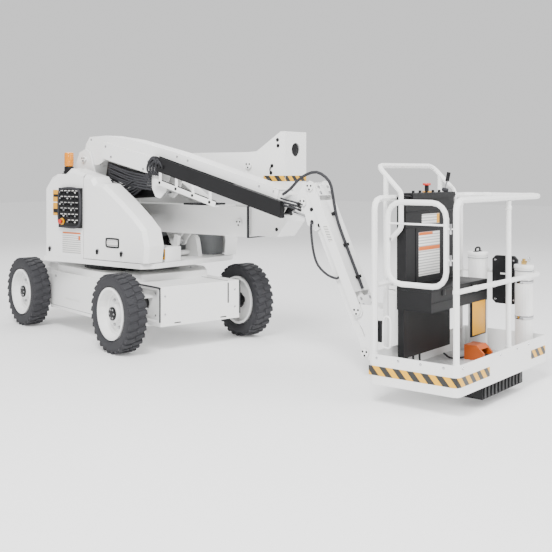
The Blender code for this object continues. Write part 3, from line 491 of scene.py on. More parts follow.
for k in range(8):
    z = LOUVRE_Z + LOUVRE_STEP * k
    low, high = (-0.8035, -0.16, z), (-0.8001, 0.16, z + 0.012)
    block("rear_louvre_%d" % k, low, high, BLACK, "turret", 0.001)
block("rear_band", (-0.8016, -0.235, 0.70), (-0.8002, 0.235, 0.756), HAZARD, "turret", 0.0003)
for y in (-0.19, 0.19):
    for z in (0.80, 1.10):
        name = "weight_bolt_%d_%d" % (y * 100, z * 10)
        bolt(name, (-0.8, y, z), (-1, 0, 0), 0.012, STEEL, "turret")

BEACON_X, BEACON_Y = -0.32, -0.455


def beacon_part(name, low, high, radius, look, sides=32, edge=0.0015):
    """One turned part of the beacon, between two heights on its axis."""
    start, end = (BEACON_X, BEACON_Y, low), (BEACON_X, BEACON_Y, high)
    return rod(name, start, end, radius, look, "turret", sides, edge)


beacon_part("beacon_base", 1.3884, 1.415, 0.047, BLACK, 24)
block("beacon_foot", (-0.36, -0.50, 1.3884), (-0.28, -0.41, 1.394), BLACK, "turret", 0.002)
beacon_part("beacon_neck", 1.415, 1.452, 0.041, BLACK)
lens = beacon_part("beacon_lens", 1.452, 1.578, 0.040, AMBER, edge=0.012)
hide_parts("beacon")
for k in range(5):
    z = 1.468 + 0.020 * k
    beacon_part("beacon_rib_%d" % k, z, z + 0.007, 0.0412, AMBER, 24)

block("valve_box", (0.535, -0.33, 0.673), (0.752, -0.15, 0.792), WHITE, "turret", 0.006)
block("valve_warning", (0.708, -0.3314, 0.692), (0.747, -0.3298, 0.778), YELLOW, "turret", 0.0003)
block("valve_mark", (0.716, -0.3320, 0.715), (0.739, -0.3312, 0.755), BLACK, "turret", 0.0002)
for x in (0.55, 0.738):
    for y in (-0.315, -0.165):
        name = "valve_bolt_%d_%d" % (x * 1e3, y * -1e3)
        bolt(name, (x, y, 0.792), (0, 0, 1), 0.007, STEEL, "turret")

# Riser: edge guards, rest pad, pin caps, warning bands and bolts
for low, high in (
    ((1.378, -0.0475, 0.884), (1.402, -0.0402, 1.136)),
    ((1.378, 0.2302, 0.884), (1.402, 0.2375, 1.136)),
    ((1.378, -0.0475, 0.882), (1.402, 0.2375, 0.8895)),
):
    name = "edge_guard_%d_%d" % (low[1] * 1e3, high[2] * 1e3)
    block(name, low, high, RUBBER, "lower_arm", 0.002)
block("rest_pad", (0.66, -0.030, 1.1302), (0.92, 0.215, 1.146), RUBBER, "lower_arm", 0.004)
for x in (0.69, 0.89):
    for y in (0.0, 0.185):
        name = "pad_bolt_%d_%d" % (x * 100, y * 100)
        bolt(name, (x, y, 1.146), (0, 0, 1), 0.007, STEEL, "lower_arm", 0.004)


def pin_cap(name, x, z, near, way, body, radius=0.030):
    """A pin's keeper disc with three screws, standing out from a side plate."""
    rod(name, (x, near, z), (x, near + way * 0.007, z), radius, WHITE, body, 28)
    for k in range(3):
        angle = 2 * math.pi * (k + 0.25) / 3
        spot = (x + 0.6 * radius * math.cos(angle), near + way * 0.007)
        spot += (z + 0.6 * radius * math.sin(angle),)
        bolt("%s_%d" % (name, k), spot, (0, way, 0), 0.0055, BLACK, body, 0.004)


for name, x, z, low, high, body in (
    ("knuckle_pin", 1.30, 1.0, -0.0522, 0.2422, "knuckle_bracket"),
    ("upper_pin", 1.40, 1.46, -0.0522, 0.2422, "upper_arm"),
    ("arm_pin", -0.35, 1.0, -0.0802, 0.2702, "lower_arm"),
    ("nose_pin", 2.13, 1.19, -0.3102, -0.1298, "nose_bracket"),
    ("jib_pin", 2.20, 1.30, -0.3202, -0.1198, "nose_bracket"),
    ("foot_pin", 2.60, 0.454, -0.3202, -0.1198, "platform_mount"),
    ("link_pin", 2.66, 0.174, -0.3082, -0.1318, "platform_mount"),
):
    pin_cap(name + "_near", x, z, low, -1, body)
    pin_cap(name + "_far", x, z, high, 1, body)
pin_cap("boom_pin_near", -0.25, 1.52, -0.3502, -1, "main_boom", 0.026)

for name, low, high in (
    ("knuckle_band_side", (1.545, -0.0416, 1.335), (1.759, -0.0402, 1.378)),
    ("knuckle_band_front", (1.7602, -0.038, 1.335), (1.7616, 0.228, 1.378)),
    ("knuckle_band_far", (1.545, 0.2302, 1.335), (1.759, 0.2316, 1.378)),
):
    block(name, low, high, HAZARD, "knuckle_bracket", 0.0003)
rod("knuckle_port", (1.742, 0.095, 1.58), (1.7475, 0.095, 1.58), 0.060, BLACK, "knuckle_bracket")
for x, z in ((1.685, 1.655), (1.69, 1.61), (1.63, 1.455), (1.62, 1.40), (1.66, 0.96)):
    near = -0.0402 if z > 1.2 else -0.0202
    name = "knuckle_bolt_%d_%d" % (x * 1e3, z * 1e3)
    bolt(name, (x, near, z), (0, -1, 0), 0.011, BLACK, "knuckle_bracket", 0.008)
    bolt(name + "_far", (x, 0.19 - near, z), (0, 1, 0), 0.011, BLACK, "knuckle_bracket", 0.008)
route = [(1.63, -0.048, 1.455), (1.618, -0.052, 1.43), (1.62, -0.048, 1.40)]
hose("knuckle_clip", route, 0.004, BLACK, "knuckle_bracket")

for x, z in ((-0.195, 1.409), (-0.14, 1.345), (-0.205, 1.19), (-0.385, 1.20), (-0.385, 1.36)):
    name = "pivot_bolt_%d_%d" % (x * -1e3, z * 1e3)
    bolt(name, (x, -0.3302, z), (0, -1, 0), 0.009, STEEL, "pivot_bracket", 0.007)

# Main boom: side screws, cable carrier with its rail, hoses
NEAR = BOOM_Y - 0.085
# The boom's top edge: a point on it, and its fall
EDGE_X, EDGE_Z = 0.81, 1.572
for x, z in ((0.03, 1.625), (0.10, 1.535), (0.50, 1.43), (0.56, 1.49)):
    bolt("panel_bolt_%d" % (x * 100), (x, NEAR - 0.0352, z), (0, -1, 0), 0.008, STEEL, "main_boom")
for x in (-0.20, 0.86, 0.98, 1.72, 1.86):
    z = 1.69 if x < 0 else EDGE_Z - (x - EDGE_X) * 0.266 - 0.030
    bolt("boom_bolt_%d" % (x * 100), (x, NEAR - 0.0002, z), (0, -1, 0), 0.007, STEEL, "main_boom")
    bolt("boom_far_bolt_%d" % (x * 100), (x, NEAR + 0.1702, z), (0, 1, 0), 0.007, STEEL, "main_boom")


def down_boom(x, drop):
    """A height on the boom, below its top edge."""
    return EDGE_Z - (x - EDGE_X) * 0.29 / 1.09 - drop


RAIL_START = (0.657, 0, 1.353)
LINKS, LINK_STEP = 27, 0.0235
for name, low, high in (
    ("carrier_rail", (0.657, -0.362, 1.312), (1.352, -0.353, 1.354)),
    ("carrier_floor", (0.657, -0.354, 1.312), (1.352, -0.308, 1.318)),
):
    block(name, low, high, WHITE, "main_boom", 0.002, SLOPE, RAIL_START)
for k in range(4):
    along = 0.06 + 0.19 * k
    x, z = 0.657 + along * math.cos(SLOPE), 1.335 - along * math.sin(SLOPE)
    bolt("rail_bolt_%d" % k, (x, -0.362, z), (0, -1, 0), 0.009, BLACK, "main_boom")
    low, high = (x - 0.015, -0.3535, z), (x + 0.015, -0.3495, z + 0.115)
    block("rail_strap_%d" % k, low, high, WHITE, "main_boom", 0.001)
low, high = (0.687, -0.346, 1.319), (0.706, -0.312, 1.352)
link = block("carrier_link", low, high, PLASTIC, "main_boom", 0.003, SLOPE, RAIL_START)
low, high = (0.700, -0.349, 1.328), (0.716, -0.309, 1.343)
hinge = block("carrier_hinge", low, high, PLASTIC, "main_boom", 0.003, SLOPE, RAIL_START)
for k in range(1, LINKS):
    along = LINK_STEP * k
    place = Matrix.Translation((along * math.cos(SLOPE), 0, -along * math.sin(SLOPE)))
    copied("carrier_link_%d" % k, link.data, place, PLASTIC, "main_boom")
    copied("carrier_hinge_%d" % k, hinge.data, place, PLASTIC, "main_boom")
TRAY_STOPS = (0.60, 0.75, 0.95, 1.15, 1.35, 1.49)
TRAY_HOSES = ((0.103, -0.327), (0.125, -0.334), (0.145, -0.322), (0.165, -0.332))
for k, (drop, y) in enumerate(TRAY_HOSES):
    route = [(0.52, -0.318, 1.36 + 0.02 * k), (0.565, -0.33, 1.42 + 0.018 * k)]
    for x in TRAY_STOPS:
        route.append((x, y + 0.004 * math.sin(9 * x + k), down_boom(x, drop)))
    hose("tray_hose_%d" % k, route, 0.0095, RUBBER, "main_boom")
for k in range(6):
    x = 0.575 + 0.022 * k
    sway = 0.012 * math.sin(2.1 * k)
    route = [(x, -0.325, 1.385 - 0.1 * (x - 0.57)), (x - 0.015 + sway, -0.352, 1.43)]
    route += [(x + 0.02, -0.358, 1.50 + sway), (x + 0.055, -0.345, 1.530 - 0.02 * k)]
    route.append((x + 0.10, -0.328, 1.50 - 0.02 * k))
    hose("bend_hose_%d" % k, route, 0.0085, RUBBER, "main_boom")
for k in range(5):
    x = 0.60 + 0.035 * k
    low, high = (x, -0.366, 1.47 - 0.01 * k), (x + 0.018, -0.330, 1.50 - 0.01 * k)
    block("hose_clamp_%d" % k, low, high, PLASTIC, "main_boom", 0.004)
COLLAR_X, COLLAR_END, COLLAR_OUT = 1.872, 1.912, 0.006
COLLAR_PIVOT = (1.872, 0, 1.288)
low = (COLLAR_X, NEAR - COLLAR_OUT, 1.284)
high = (COLLAR_END, NEAR + 0.176, 1.292)
block("boom_collar_top", low, high, WHITE, "main_boom", 0.002, SLOPE, COLLAR_PIVOT)
for low_y, high_y in ((NEAR - COLLAR_OUT, NEAR - 0.0002), (NEAR + 0.1702, NEAR + 0.176)):
    low, high = (COLLAR_X, low_y, 1.088), (COLLAR_END, high_y, 1.290)
    name = "boom_collar_%d" % (low_y * -1e3)
    block(name, low, high, WHITE, "main_boom", 0.002, SLOPE, COLLAR_PIVOT)

# Painted shade: a black sheet under the boom's root, behind its hoses, darkens the riser's side where it
# lies in shade
low, high = (0.02, -0.302, 1.36), (0.53, -0.294, 1.50)
block("boom_shade_sheet", low, high, PLASTIC, "main_boom", 0.002, 0.21, (0.0, 0, 1.515))
for k in range(6):
    drop = 0.022 * k
    route = [(0.04, -0.309, 1.475 - drop), (0.16, -0.318, 1.440 - drop + 0.008 * (k % 2))]
    route += [(0.30, -0.312, 1.405 - drop), (0.44, -0.320, 1.385 - drop), (0.57, -0.316, 1.372 - drop)]
    hose("under_hose_%d" % k, route, 0.0095, RUBBER, "main_boom")
block("drive_box", (-0.09, -0.368, 0.9505), (0.30, -0.340, 1.27), BLACK, "turret", 0.006)
block("pump_box", (0.10, -0.368, 0.9505), (0.46, -0.345, 1.15), BLACK, "turret", 0.006)
block("manifold", (-0.098, -0.330, 1.215), (0.05, -0.285, 1.335), BLACK, "pivot_bracket", 0.004)
for k in range(4):
    z = 1.232 + 0.028 * k
    rod("manifold_port_%d" % k, (0.05, -0.307, z), (0.085, -0.307, z), 0.011, STEEL, "pivot_bracket", 6)
    x = -0.07 + 0.035 * k
    start, end = (x, -0.33, 1.275), (x, -0.343, 1.275)
    rod("manifold_plug_%d" % k, start, end, 0.009, STEEL, "pivot_bracket", 6)
for k in range(7):
    z = 1.232 + 0.017 * k
    y = -0.305 - 0.007 * (k % 3)
    route = [(0.07, y, z), (0.13, y - 0.004, z - 0.008), (0.23 + 0.02 * (k % 2), y - 0.010, z - 0.035)]
    route += [
        (0.36, y - 0.006, z - 0.015 + 0.006 * k),
        (0.47, y, 1.29 + 0.012 * k),
        (0.56, -0.325, 1.375 + 0.012 * k),
    ]
    line = hose("lift_hose_%d" % k, route, 0.008, RUBBER, "pivot_bracket")
    line.parent = None
    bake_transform(line)

# Nose, jib and platform mount
for x, z in ((2.207, 1.05), (2.272, 1.029), (2.203, 1.139), (2.09, 1.178)):
    for near, way in ((BOOM_Y - 0.0822, -1), (BOOM_Y + 0.0822, 1)):
        name = "nose_bolt_%d_%d_%d" % (x * 1e3, z * 1e3, way)
        bolt(name, (x, near, z), (0, way, 0), 0.011, BLACK, "nose_bracket", 0.009)
for k in range(3):
    z = 1.215 - 0.022 * k
    route = [(1.93, -0.312, z), (1.99, -0.322, z - 0.012)]
    route += [(2.05, -0.325, z - 0.022), (2.10, -0.318, z - 0.035)]
    hose("nose_hose_%d" % k, route, 0.007, RUBBER, "inner_boom")
    start, end = (2.095, -0.3185, z - 0.034), (2.12, -0.315, z - 0.041)
    rod("nose_fitting_%d" % k, start, end, 0.011, BLACK, "inner_boom", 6)

JIB = (2.20, BOOM_Y, 1.30)
JIB_TURN = math.atan2(0.846, 0.40)


def on_jib(name, low, high, look, body="jib_arm", edge=0.002):
    """A block given along the jib from its upper pin, across it and ahead of it."""
    low, high = [[a + b for a, b in zip(JIB, corner)] for corner in (low, high)]
    return block(name, low, high, look, body, edge, JIB_TURN, JIB)


def jib_spot(along, across, ahead):
    """A point along the jib, across it and ahead of it."""
    cos, sin = math.cos(JIB_TURN), math.sin(JIB_TURN)
    return (JIB[0] + along * cos + ahead * sin, JIB[1] + across, JIB[2] - along * sin + ahead * cos)


JIB_FRONT = (math.sin(JIB_TURN), 0, math.cos(JIB_TURN))
for start, end in ((0.0, 0.085), (0.845, 0.93)):
    on_jib("jib_strap_%d" % (start * 100), (start, -0.080, 0.0352), (end, 0.080, 0.041), WHITE)
    for along in (start + 0.02, end - 0.02):
        for across in (-0.055, 0.055):
            name = "jib_bolt_%d_%d" % (along * 1e3, across * 1e3)
            bolt(name, jib_spot(along, across, 0.041), JIB_FRONT, 0.009, STEEL, "jib_arm")
for along in (0.22, 0.46, 0.70):
    low, high = (along, -0.018, 0.0352), (along + 0.022, 0.018, 0.0375)
    on_jib("hose_guide_%d" % (along * 100), low, high, BLACK)
    for across in (-0.0165, 0.0145):
        name = "hose_lug_%d_%d" % (along * 100, across * 1e3)
        low, high = (along, across, 0.036), (along + 0.022, across + 0.002, 0.064)
        on_jib(name, low, high, BLACK, edge=0)
on_jib("jib_label", (0.30, -0.0967, -0.015), (0.42, -0.0955, 0.018), LABEL, edge=0.0002)
ROTATOR_X = 2.86
for z in (0.24, 0.60):
    low, high = (ROTATOR_X, BOOM_Y, z - 0.012), (ROTATOR_X, BOOM_Y, z + 0.012)
    rod("rotator_band_%d" % (z * 100), low, high, 0.0935, WHITE, "platform_mount", 40)
for k in range(6):
    angle = math.radians(60 * k + 30)
    spot = (ROTATOR_X + 0.068 * math.cos(angle), BOOM_Y + 0.068 * math.sin(angle), 0.6502)
    bolt("rotator_bolt_%d" % k, spot, (0, 0, 1), 0.009, STEEL, "platform", 0.007)

# Platform: warning bands, floor plate and studs, step ribs, rail and gate fittings
TOE = ((3.044, -0.8603), (3.6100, -0.8603), (3.6312, -0.8515), (3.6403, -0.8300), (3.6403, -0.4500))
TOE_FAR = ((3.6403, 0.170), (3.6403, 0.405))


def toe_band(name, path):
    """A warning band on the toe board, following its corner."""
    parts = []
    for k, (one, two) in enumerate(zip(path, path[1:])):
        middle = ((one[0] + two[0]) / 2, (one[1] + two[1]) / 2, 0)
        length = math.hypot(two[0] - one[0], two[1] - one[1]) / 2
        heading = math.atan2(two[1] - one[1], two[0] - one[0])
        low = (middle[0] - length, middle[1] - 0.0012, 0.181)
        high = (middle[0] + length, middle[1], 0.237)
        parts.append(block("%s_%d" % (name, k), low, high, HAZARD, "platform", 0, heading, middle, "Z"))
    return joined(parts, name)


toe_band("toe_band", TOE)
toe_band("toe_band_far", TOE_FAR)
block("floor_plate", (3.052, -0.848, 0.1583), (3.628, 0.404, 0.1600), TREAD, "platform", 0.0003)
STUD_ROWS, STUD_COLUMNS = 14, 29
low, high = (3.068, -0.835, 0.1598), (3.090, -0.829, 0.1618)
first = block("floor_stud", low, high, TREAD, "platform", 0.0008, 0.7, axis="Z")
mesh = first.data.copy()
studs = [first]
for row in range(STUD_ROWS):
    for column in range(STUD_COLUMNS):
        x, y = 0.040 * row, 0.043 * column
        if row + column == 0:
            continue
        stud = bpy.data.objects.new("floor_stud", mesh.copy())
        bpy.context.collection.objects.link(stud)
        middle = Vector(at(3.079, -0.832, 0.16))
        flip = Matrix.Rotation(-1.4 * ((row + column) % 2), 4, "Z")
        place = Matrix.Translation(middle + Vector((x, y, 0))) @ flip @ Matrix.Translation(-middle)
        stud.data.transform(place)
        studs.append(stud)
joined(studs, "floor_studs")
for x in (3.10, 3.25, 3.40, 3.55):
    bolt("toe_bolt_%d" % (x * 100), (x, -0.8602, 0.286), (0, -1, 0), 0.006, STEEL, "platform", 0.004)
for y in (-0.80, -0.30, -0.05, 0.13):
    bolt("toe_front_bolt_%d" % (y * 100), (3.6402, y, 0.286), (1, 0, 0), 0.006, STEEL, "platform", 0.004)
for k in range(11):
    y = -0.512 + 0.0503 * k
    block("step_rib_%d" % k, (3.6302, y, 0.054), (3.6360, y + 0.020, 0.122), PLASTIC, "platform", 0.002)
    block("step_tooth_%d" % k, (3.515, y, 0.0458), (3.625, y + 0.012, 0.0502), PLASTIC, "platform", 0.001)

FRONT, BACK, RIGHT, LEFT = 3.614, 3.066, -0.828, 0.3915
for x, y in ((FRONT, RIGHT), (FRONT, -0.122), (BACK, RIGHT), (BACK, 0.30)):
    name = "post_foot_%d_%d" % (x * 100, y * 100)
    rod(name, (x, y, 0.1602), (x, y, 0.170), 0.024, WHITE, "platform", 28, 0.003)
    rod(name + "_collar", (x, y, 0.296), (x, y, 0.312), 0.0215, WHITE, "platform", 28, 0.003)
for x, y in ((FRONT, RIGHT), (FRONT, -0.122), (BACK, 0.30)):
    for z in (0.72, 1.18):
        if (x, y, z) != (FRONT, RIGHT, 1.18):
            name = "post_weld_%d_%d_%d" % (x * 100, y * 100, z * 100)
            low, high = (x, y, z - 0.012), (x, y, z + 0.012)
            rod(name, low, high, 0.0212, WHITE, "platform", 28, 0.004)
for x in (3.20, 3.52):
    start, end = (x, LEFT, 1.245), (x + 0.05, LEFT, 1.245)
    rod("rail_sleeve_%d" % (x * 100), start, end, 0.0207, WHITE, "platform", 28, 0.002)
for y in (-0.60, -0.35, 0.10):
    start, end = (FRONT, y, 0.72), (FRONT, y + 0.035, 0.72)
    rod("rail_joint_%d" % (y * 100), start, end, 0.0178, WHITE, "platform", 28, 0.002)
for z in (0.90, 1.08):
    low, high = (3.5775, RIGHT, z - 0.030), (3.5775, RIGHT, z + 0.030)
    rod("gate_hinge_%d" % (z * 100), low, high, 0.008, STEEL, "gate", 16)
    rod("gate_weld_%d" % (z * 100), (3.55, RIGHT, z), (3.577, RIGHT, z), 0.0075, WHITE, "gate", 16)
block("gate_latch", (3.145, RIGHT - 0.006, 0.985), (3.180, RIGHT + 0.006, 1.015), STEEL, "gate", 0.002)
rod("gate_bar", (3.162, RIGHT, 1.10), (3.548, RIGHT, 1.10), 0.006, WHITE, "gate", 16)

# Console: labels, ribs, lid, switches, joystick, box and cables
FACE = 3.1502
for name, low, high, look in (
    ("console_label", (-0.40, 1.072), (-0.17, 1.137), LABEL),
    ("console_label_end", (-0.205, 1.074), (-0.172, 1.135), YELLOW),
    ("console_chart", (-0.44, 0.743), (-0.165, 1.023), LABEL),
    ("console_chart_header", (-0.438, 1.003), (-0.260, 1.021), HEADER),
    ("console_chart_band", (-0.438, 0.905), (-0.167, 0.930), HEADER),
):
    proud = 0.0012 if look is LABEL else 0.0019
    block(name, (FACE, low[0], low[1]), (FACE + proud, high[0], high[1]), look, "platform", 0.0002)
for low, high in (
    ((-0.592, 1.150), (0.032, 1.158)),
    ((-0.592, 1.052), (0.032, 1.060)),
    ((-0.592, 0.700), (0.032, 0.708)),
    ((-0.480, 0.708), (-0.472, 1.052)),
    ((-0.100, 0.708), (-0.092, 1.052)),
):
    name = "console_rib_%d_%d" % (low[0] * -1e3, low[1] * 1e3)
    block(name, (FACE, low[0], low[1]), (FACE + 0.004, high[0], high[1]), PLASTIC, "platform", 0.0015)
block("console_lid", (3.088, -0.598, 1.2500), (3.168, 0.036, 1.262), PLASTIC, "platform", 0.004)
for k in range(5):
    y = -0.50 + 0.085 * k
    rod("console_switch_%d" % k, (3.145, y, 1.2752), (3.145, y, 1.290), 0.009, BLACK, "platform", 16)
    low, high = (3.157, y - 0.018, 1.2750), (3.172, y + 0.018, 1.2758)
    block("console_mark_%d" % k, low, high, LABEL, "platform", 0)
rod("console_stop", (3.13, -0.30, 1.3202), (3.13, -0.30, 1.335), 0.027, RED, "platform", 32, 0.006)
rod("console_stop_collar", (3.13, -0.30, 1.2752), (3.13, -0.30, 1.283), 0.030, YELLOW, "platform", 32)
rod("joystick", (3.13, -0.055, 1.275), (3.145, -0.040, 1.375), 0.006, STEEL, "platform", 16)
route = [(3.141, -0.044, 1.345), (3.146, -0.039, 1.375), (3.150, -0.035, 1.405)]
hose("joystick_grip", route, 0.013, BLACK, "platform")
rod("joystick_boot", (3.13, -0.055, 1.2752), (3.134, -0.051, 1.300), 0.022, RUBBER, "platform", 28, 0.008)
block("box_lid", (3.09, -0.6045, 0.668), (3.3315, 0.1725, 0.686), PLASTIC, "platform", 0.004)
block("box_groove", (3.3302, -0.595, 0.600), (3.3335, 0.163, 0.606), PLASTIC, "platform", 0.001)
for y in (-0.45, -0.05):
    low, high = (3.3302, y - 0.022, 0.640), (3.3365, y + 0.022, 0.676)
    block("box_latch_%d" % (y * -100), low, high, BLACK, "platform", 0.002)
block("chart_flap", (3.3287, -0.056, 0.325), (3.3300, 0.146, 0.548), YELLOW, "platform", 0.0004)
for low, high in (
    ((-0.058, 0.322), (0.148, 0.329)),
    ((-0.058, 0.322), (-0.051, 0.55)),
    ((0.141, 0.322), (0.148, 0.55)),
):
    name = "flap_edge_%d_%d" % (low[0] * 1e3, high[0] * 1e3)
    block(name, (3.3287, low[0], low[1]), (3.3312, high[0], high[1]), BLACK, "platform", 0.0005)
for k, y in enumerate((-0.50, -0.42, -0.34)):
    route = [(3.10, y, 0.26), (3.105, y - 0.01, 0.205), (3.12, y - 0.03, 0.175), (3.10, y - 0.06, 0.170)]
    hose("console_cable_%d" % k, route, 0.007, RUBBER, "platform")
ring_route = [(3.105, -0.79, 0.34), (3.145, -0.79, 0.34), (3.155, -0.79, 0.37), (3.155, -0.79, 0.50)]
ring_route += [(3.13, -0.79, 0.53), (3.105, -0.79, 0.50), (3.10, -0.79, 0.37), (3.105, -0.79, 0.34)]
hose("tie_point", ring_route, 0.006, WHITE, "platform")
block("tie_block", (3.052, -0.805, 0.37), (3.100, -0.775, 0.50), BLACK, "platform", 0.006)

# Canisters, pad and foot switch
for name, x, y, radius, top in (
    ("back", 3.20, 0.296, 0.0688, 0.850),
    ("front", 3.532, 0.3085, 0.0623, 0.780),
):
    for item, low, high, out, look, edge in (
        ("lid", top - 0.024, top + 0.003, 0.003, WHITE, 0.004),
        ("seam", top - 0.040, top - 0.034, 0.001, GREY, 0.001),
        ("foot", 0.1604, 0.180, 0.002, WHITE, 0.003),
    ):
        start, end = (x, y, low), (x, y, high)
        rod("%s_%s" % (item, name), start, end, radius + out, look, "platform", 40, edge)
arch = [(3.20, 0.262, 0.853), (3.20, 0.264, 0.873), (3.20, 0.280, 0.881), (3.20, 0.312, 0.881)]
arch += [(3.20, 0.328, 0.873), (3.20, 0.330, 0.853)]
hose("canister_handle", arch, 0.0065, BLACK, "platform")
block("handle_base", (3.185, 0.252, 0.853), (3.215, 0.340, 0.858), BLACK, "platform", 0.002)
rod("valve_body", (3.532, 0.3085, 0.783), (3.532, 0.3085, 0.808), 0.018, BRASS, "platform", 6)
rod("valve_cap", (3.532, 0.3085, 0.808), (3.532, 0.3085, 0.822), 0.011, BRASS, "platform")
rod("valve_branch", (3.532, 0.3085, 0.797), (3.532, 0.350, 0.797), 0.008, BRASS, "platform", 16)
loop = []
for k in range(9):
    angle = k * math.pi / 4
    loop.append((3.545, 0.365 + 0.016 * math.cos(angle), 0.812 + 0.016 * math.sin(angle)))
hose("valve_ring", loop, 0.003, STEEL, "platform")
for z in (0.42, 0.66):
    start, end = (3.532, 0.3085, z), (3.532, 0.3085, z + 0.022)
    rod("canister_strap_%d" % (z * 100), start, end, 0.0632, STEEL, "platform", 40, 0.001)
block("pad_label", (3.345, 0.3435, 0.700), (3.385, 0.3448, 0.712), LABEL, "platform", 0.0002)
for x in (3.31, 3.44):
    for z in (0.53, 0.80):
        bolt(
            "pad_screw_%d_%d" % (x * 100, z * 100),
            (x, 0.3450, z),
            (0, -1, 0),
            0.006,
            STEEL,
            "platform",
            0.003,
        )
block("pedal", (3.285, 0.014, 0.182), (3.385, 0.106, 0.190), BLACK, "platform", 0.002)
for k in range(6):
    x = 3.30 + 0.014 * k
    block("pedal_rib_%d" % k, (x, 0.018, 0.190), (x + 0.005, 0.102, 0.193), RUBBER, "platform", 0.001)
route = [(3.26, 0.02, 0.175), (3.22, -0.04, 0.168), (3.17, -0.06, 0.168), (3.12, -0.05, 0.19)]
hose("pedal_cable", route, 0.006, RUBBER, "platform")

# Chassis, built along its own heading
trims = []
for sign in (-1, 1):
    side = "right" if sign < 0 else "left"
    route = [(0.66, sign * 0.384, 0.508), (1.05, sign * 0.384, 0.508), (1.076, sign * 0.384, 0.497)]
    route += [(1.082, sign * 0.384, 0.47), (1.082, sign * 0.384, 0.24)]
    trims.append(hose("axle_trim_" + side, route, 0.006, RUBBER, "base"))
    near, far = sorted((sign * 0.3302, sign * 0.336))
    trims.append(block("pocket_plate_" + side, (0.655, near, 0.25), (1.025, far, 0.47), WHITE, "base"))
    start = (0.80, sign * 0.336, 0.36)
    for name, y, radius, look in (("port", 0.339, 0.042, BLACK), ("rim", 0.338, 0.050, STEEL)):
        name = "pocket_%s_%s" % (name, side)
        trims.append(rod(name, start, (0.80, sign * y, 0.36), radius, look, "base"))
    for x in (0.68, 0.74, 0.94, 1.0):
        for z in (0.275, 0.445):
            spot = (x, sign * 0.336, z)
            name = "pocket_bolt_%s_%d_%d" % (side, x * 100, z * 100)
            trims.append(bolt(name, spot, (0, sign, 0), 0.007, STEEL, "base"))
    for x in (-0.50, 0.35):
        spot = (x, sign * 0.5002, 0.47)
        name = "side_bolt_%s_%d" % (side, x * 100)
        trims.append(bolt(name, spot, (0, sign, 0), 0.008, STEEL, "base", 0.004))
    low, high = sorted((sign * 0.4985, sign * 0.5010))
    trims.append(
        block("side_seam_" + side, (-0.598, low, 0.205), (0.415, high, 0.209), GREY, "base", 0.0005)
    )
    near, far = sorted((sign * 0.25, sign * 0.19))
    trims.append(
        block("front_slot_" + side, (1.0802, near, 0.222), (1.0812, far, 0.230), BLACK, "base", 0.0003)
    )
    for z in (0.44, 0.30):
        name, spot = "front_bolt_%s_%d" % (side, z * 100), (1.0802, sign * 0.335, z)
        trims.append(bolt(name, spot, (1, 0, 0), 0.006, STEEL, "base", 0.004))
    hook = [(-1.122, sign * 0.27, 0.30), (-1.160, sign * 0.27, 0.30), (-1.172, sign * 0.27, 0.27)]
    hook += [(-1.160, sign * 0.27, 0.24), (-1.122, sign * 0.27, 0.24)]
    trims.append(hose("tow_eye_" + side, hook, 0.011, BLACK, "base"))
    near, far = sorted((sign * 0.33, sign * 0.41))
    trims.append(block("rear_lamp_" + side, (-1.128, near, 0.40), (-1.1202, far, 0.46), RED, "base", 0.003))
trims.append(block("front_gap", (1.0802, 0.262, 0.335), (1.0812, 0.274, 0.500), BLACK, "base", 0.0003))
trims.append(block("hood_gap", (0.62, 0.262, 0.5152), (1.075, 0.272, 0.5162), BLACK, "base", 0.0003))
trims.append(block("rear_band", (-1.1215, -0.42, 0.20), (-1.1202, 0.42, 0.256), HAZARD, "base", 0.0003))
trims.append(block("charge_lid", (-1.128, -0.12, 0.34), (-1.1202, 0.06, 0.45), PLASTIC, "base", 0.004))
trims.append(block("rear_plate", (-1.124, 0.12, 0.35), (-1.1202, 0.24, 0.43), LABEL, "base", 0.001))
RING_BOLTS, RING_CIRCLE = 16, 0.385
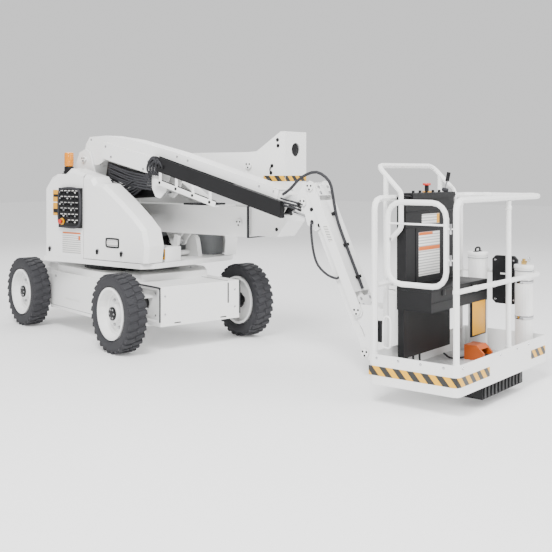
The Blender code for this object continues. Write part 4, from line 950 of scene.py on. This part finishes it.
for k in range(RING_BOLTS):
    angle = 2 * math.pi * k / RING_BOLTS
    spot = (RING_CIRCLE * math.cos(angle), RING_CIRCLE * math.sin(angle), 0.6252)
    trims.append(bolt("ring_bolt_%d" % k, spot, (0, 0, 1), 0.009, STEEL, "base", 0.004))
for x in (-1.05, -0.80, 0.44):
    for y in (-0.33, 0.33):
        name = "deck_bolt_%d_%d" % (x * 100, y * 100)
        trims.append(bolt(name, (x, y, 0.5702), (0, 0, 1), 0.009, STEEL, "base"))
for trim in trims:
    turned_about_ground(trim)


# Floor, light and camera
fresh()
bpy.ops.mesh.primitive_plane_add(size=60.0, location=(0, 0, -0.0005))
floor = bpy.context.object
floor.name = "studio_floor"
bpy.ops.object.mode_set(mode="EDIT")
bpy.ops.mesh.select_all(action="SELECT")
bpy.ops.mesh.subdivide(number_cuts=3)
bpy.ops.object.mode_set(mode="OBJECT")
pale = shade("studio_pale", (0.90, 0.90, 0.90), 0.9, vary=0.01, bump=0.0)
paint = pale.node_tree.nodes["Principled BSDF"].inputs
paint["Emission Color"].default_value = (1, 1, 1, 1)
paint["Emission Strength"].default_value = 0.15
floor.data.materials.append(pale)
for name, place, size, power in (
    ("key", (3.5, -6.0, 7.5), 3.5, 1400.0),
    ("fill", (7.0, 1.0, 4.0), 5.0, 380.0),
    ("back", (-5.0, 5.0, 6.0), 6.0, 300.0),
):
    lamp = bpy.data.lights.new(name, "AREA")
    lamp.size = size
    lamp.energy = power
    light = bpy.data.objects.new(name, lamp)
    bpy.context.collection.objects.link(light)
    light.location = place
    light.rotation_euler = (Vector((0, 0, 0.6)) - Vector(place)).to_track_quat("-Z", "Y").to_euler()
world = bpy.data.worlds.new("studio")
bpy.context.scene.world = world
world.use_nodes = True
sky = world.node_tree.nodes["Background"].inputs
sky["Color"].default_value = (1.0, 1.0, 1.0, 1)
sky["Strength"].default_value = 0.95
camera_data = bpy.data.cameras.new("camera")
camera_data.lens = 58.41
camera_data.sensor_width = 36.0
camera_data.shift_y = -0.1895
camera = bpy.data.objects.new("camera", camera_data)
bpy.context.collection.objects.link(camera)
camera.location = (5.994 + SHIFT, -5.459, 1.411)
camera.rotation_euler = (math.radians(90), 0, math.radians(38.59))
bpy.context.scene.camera = camera
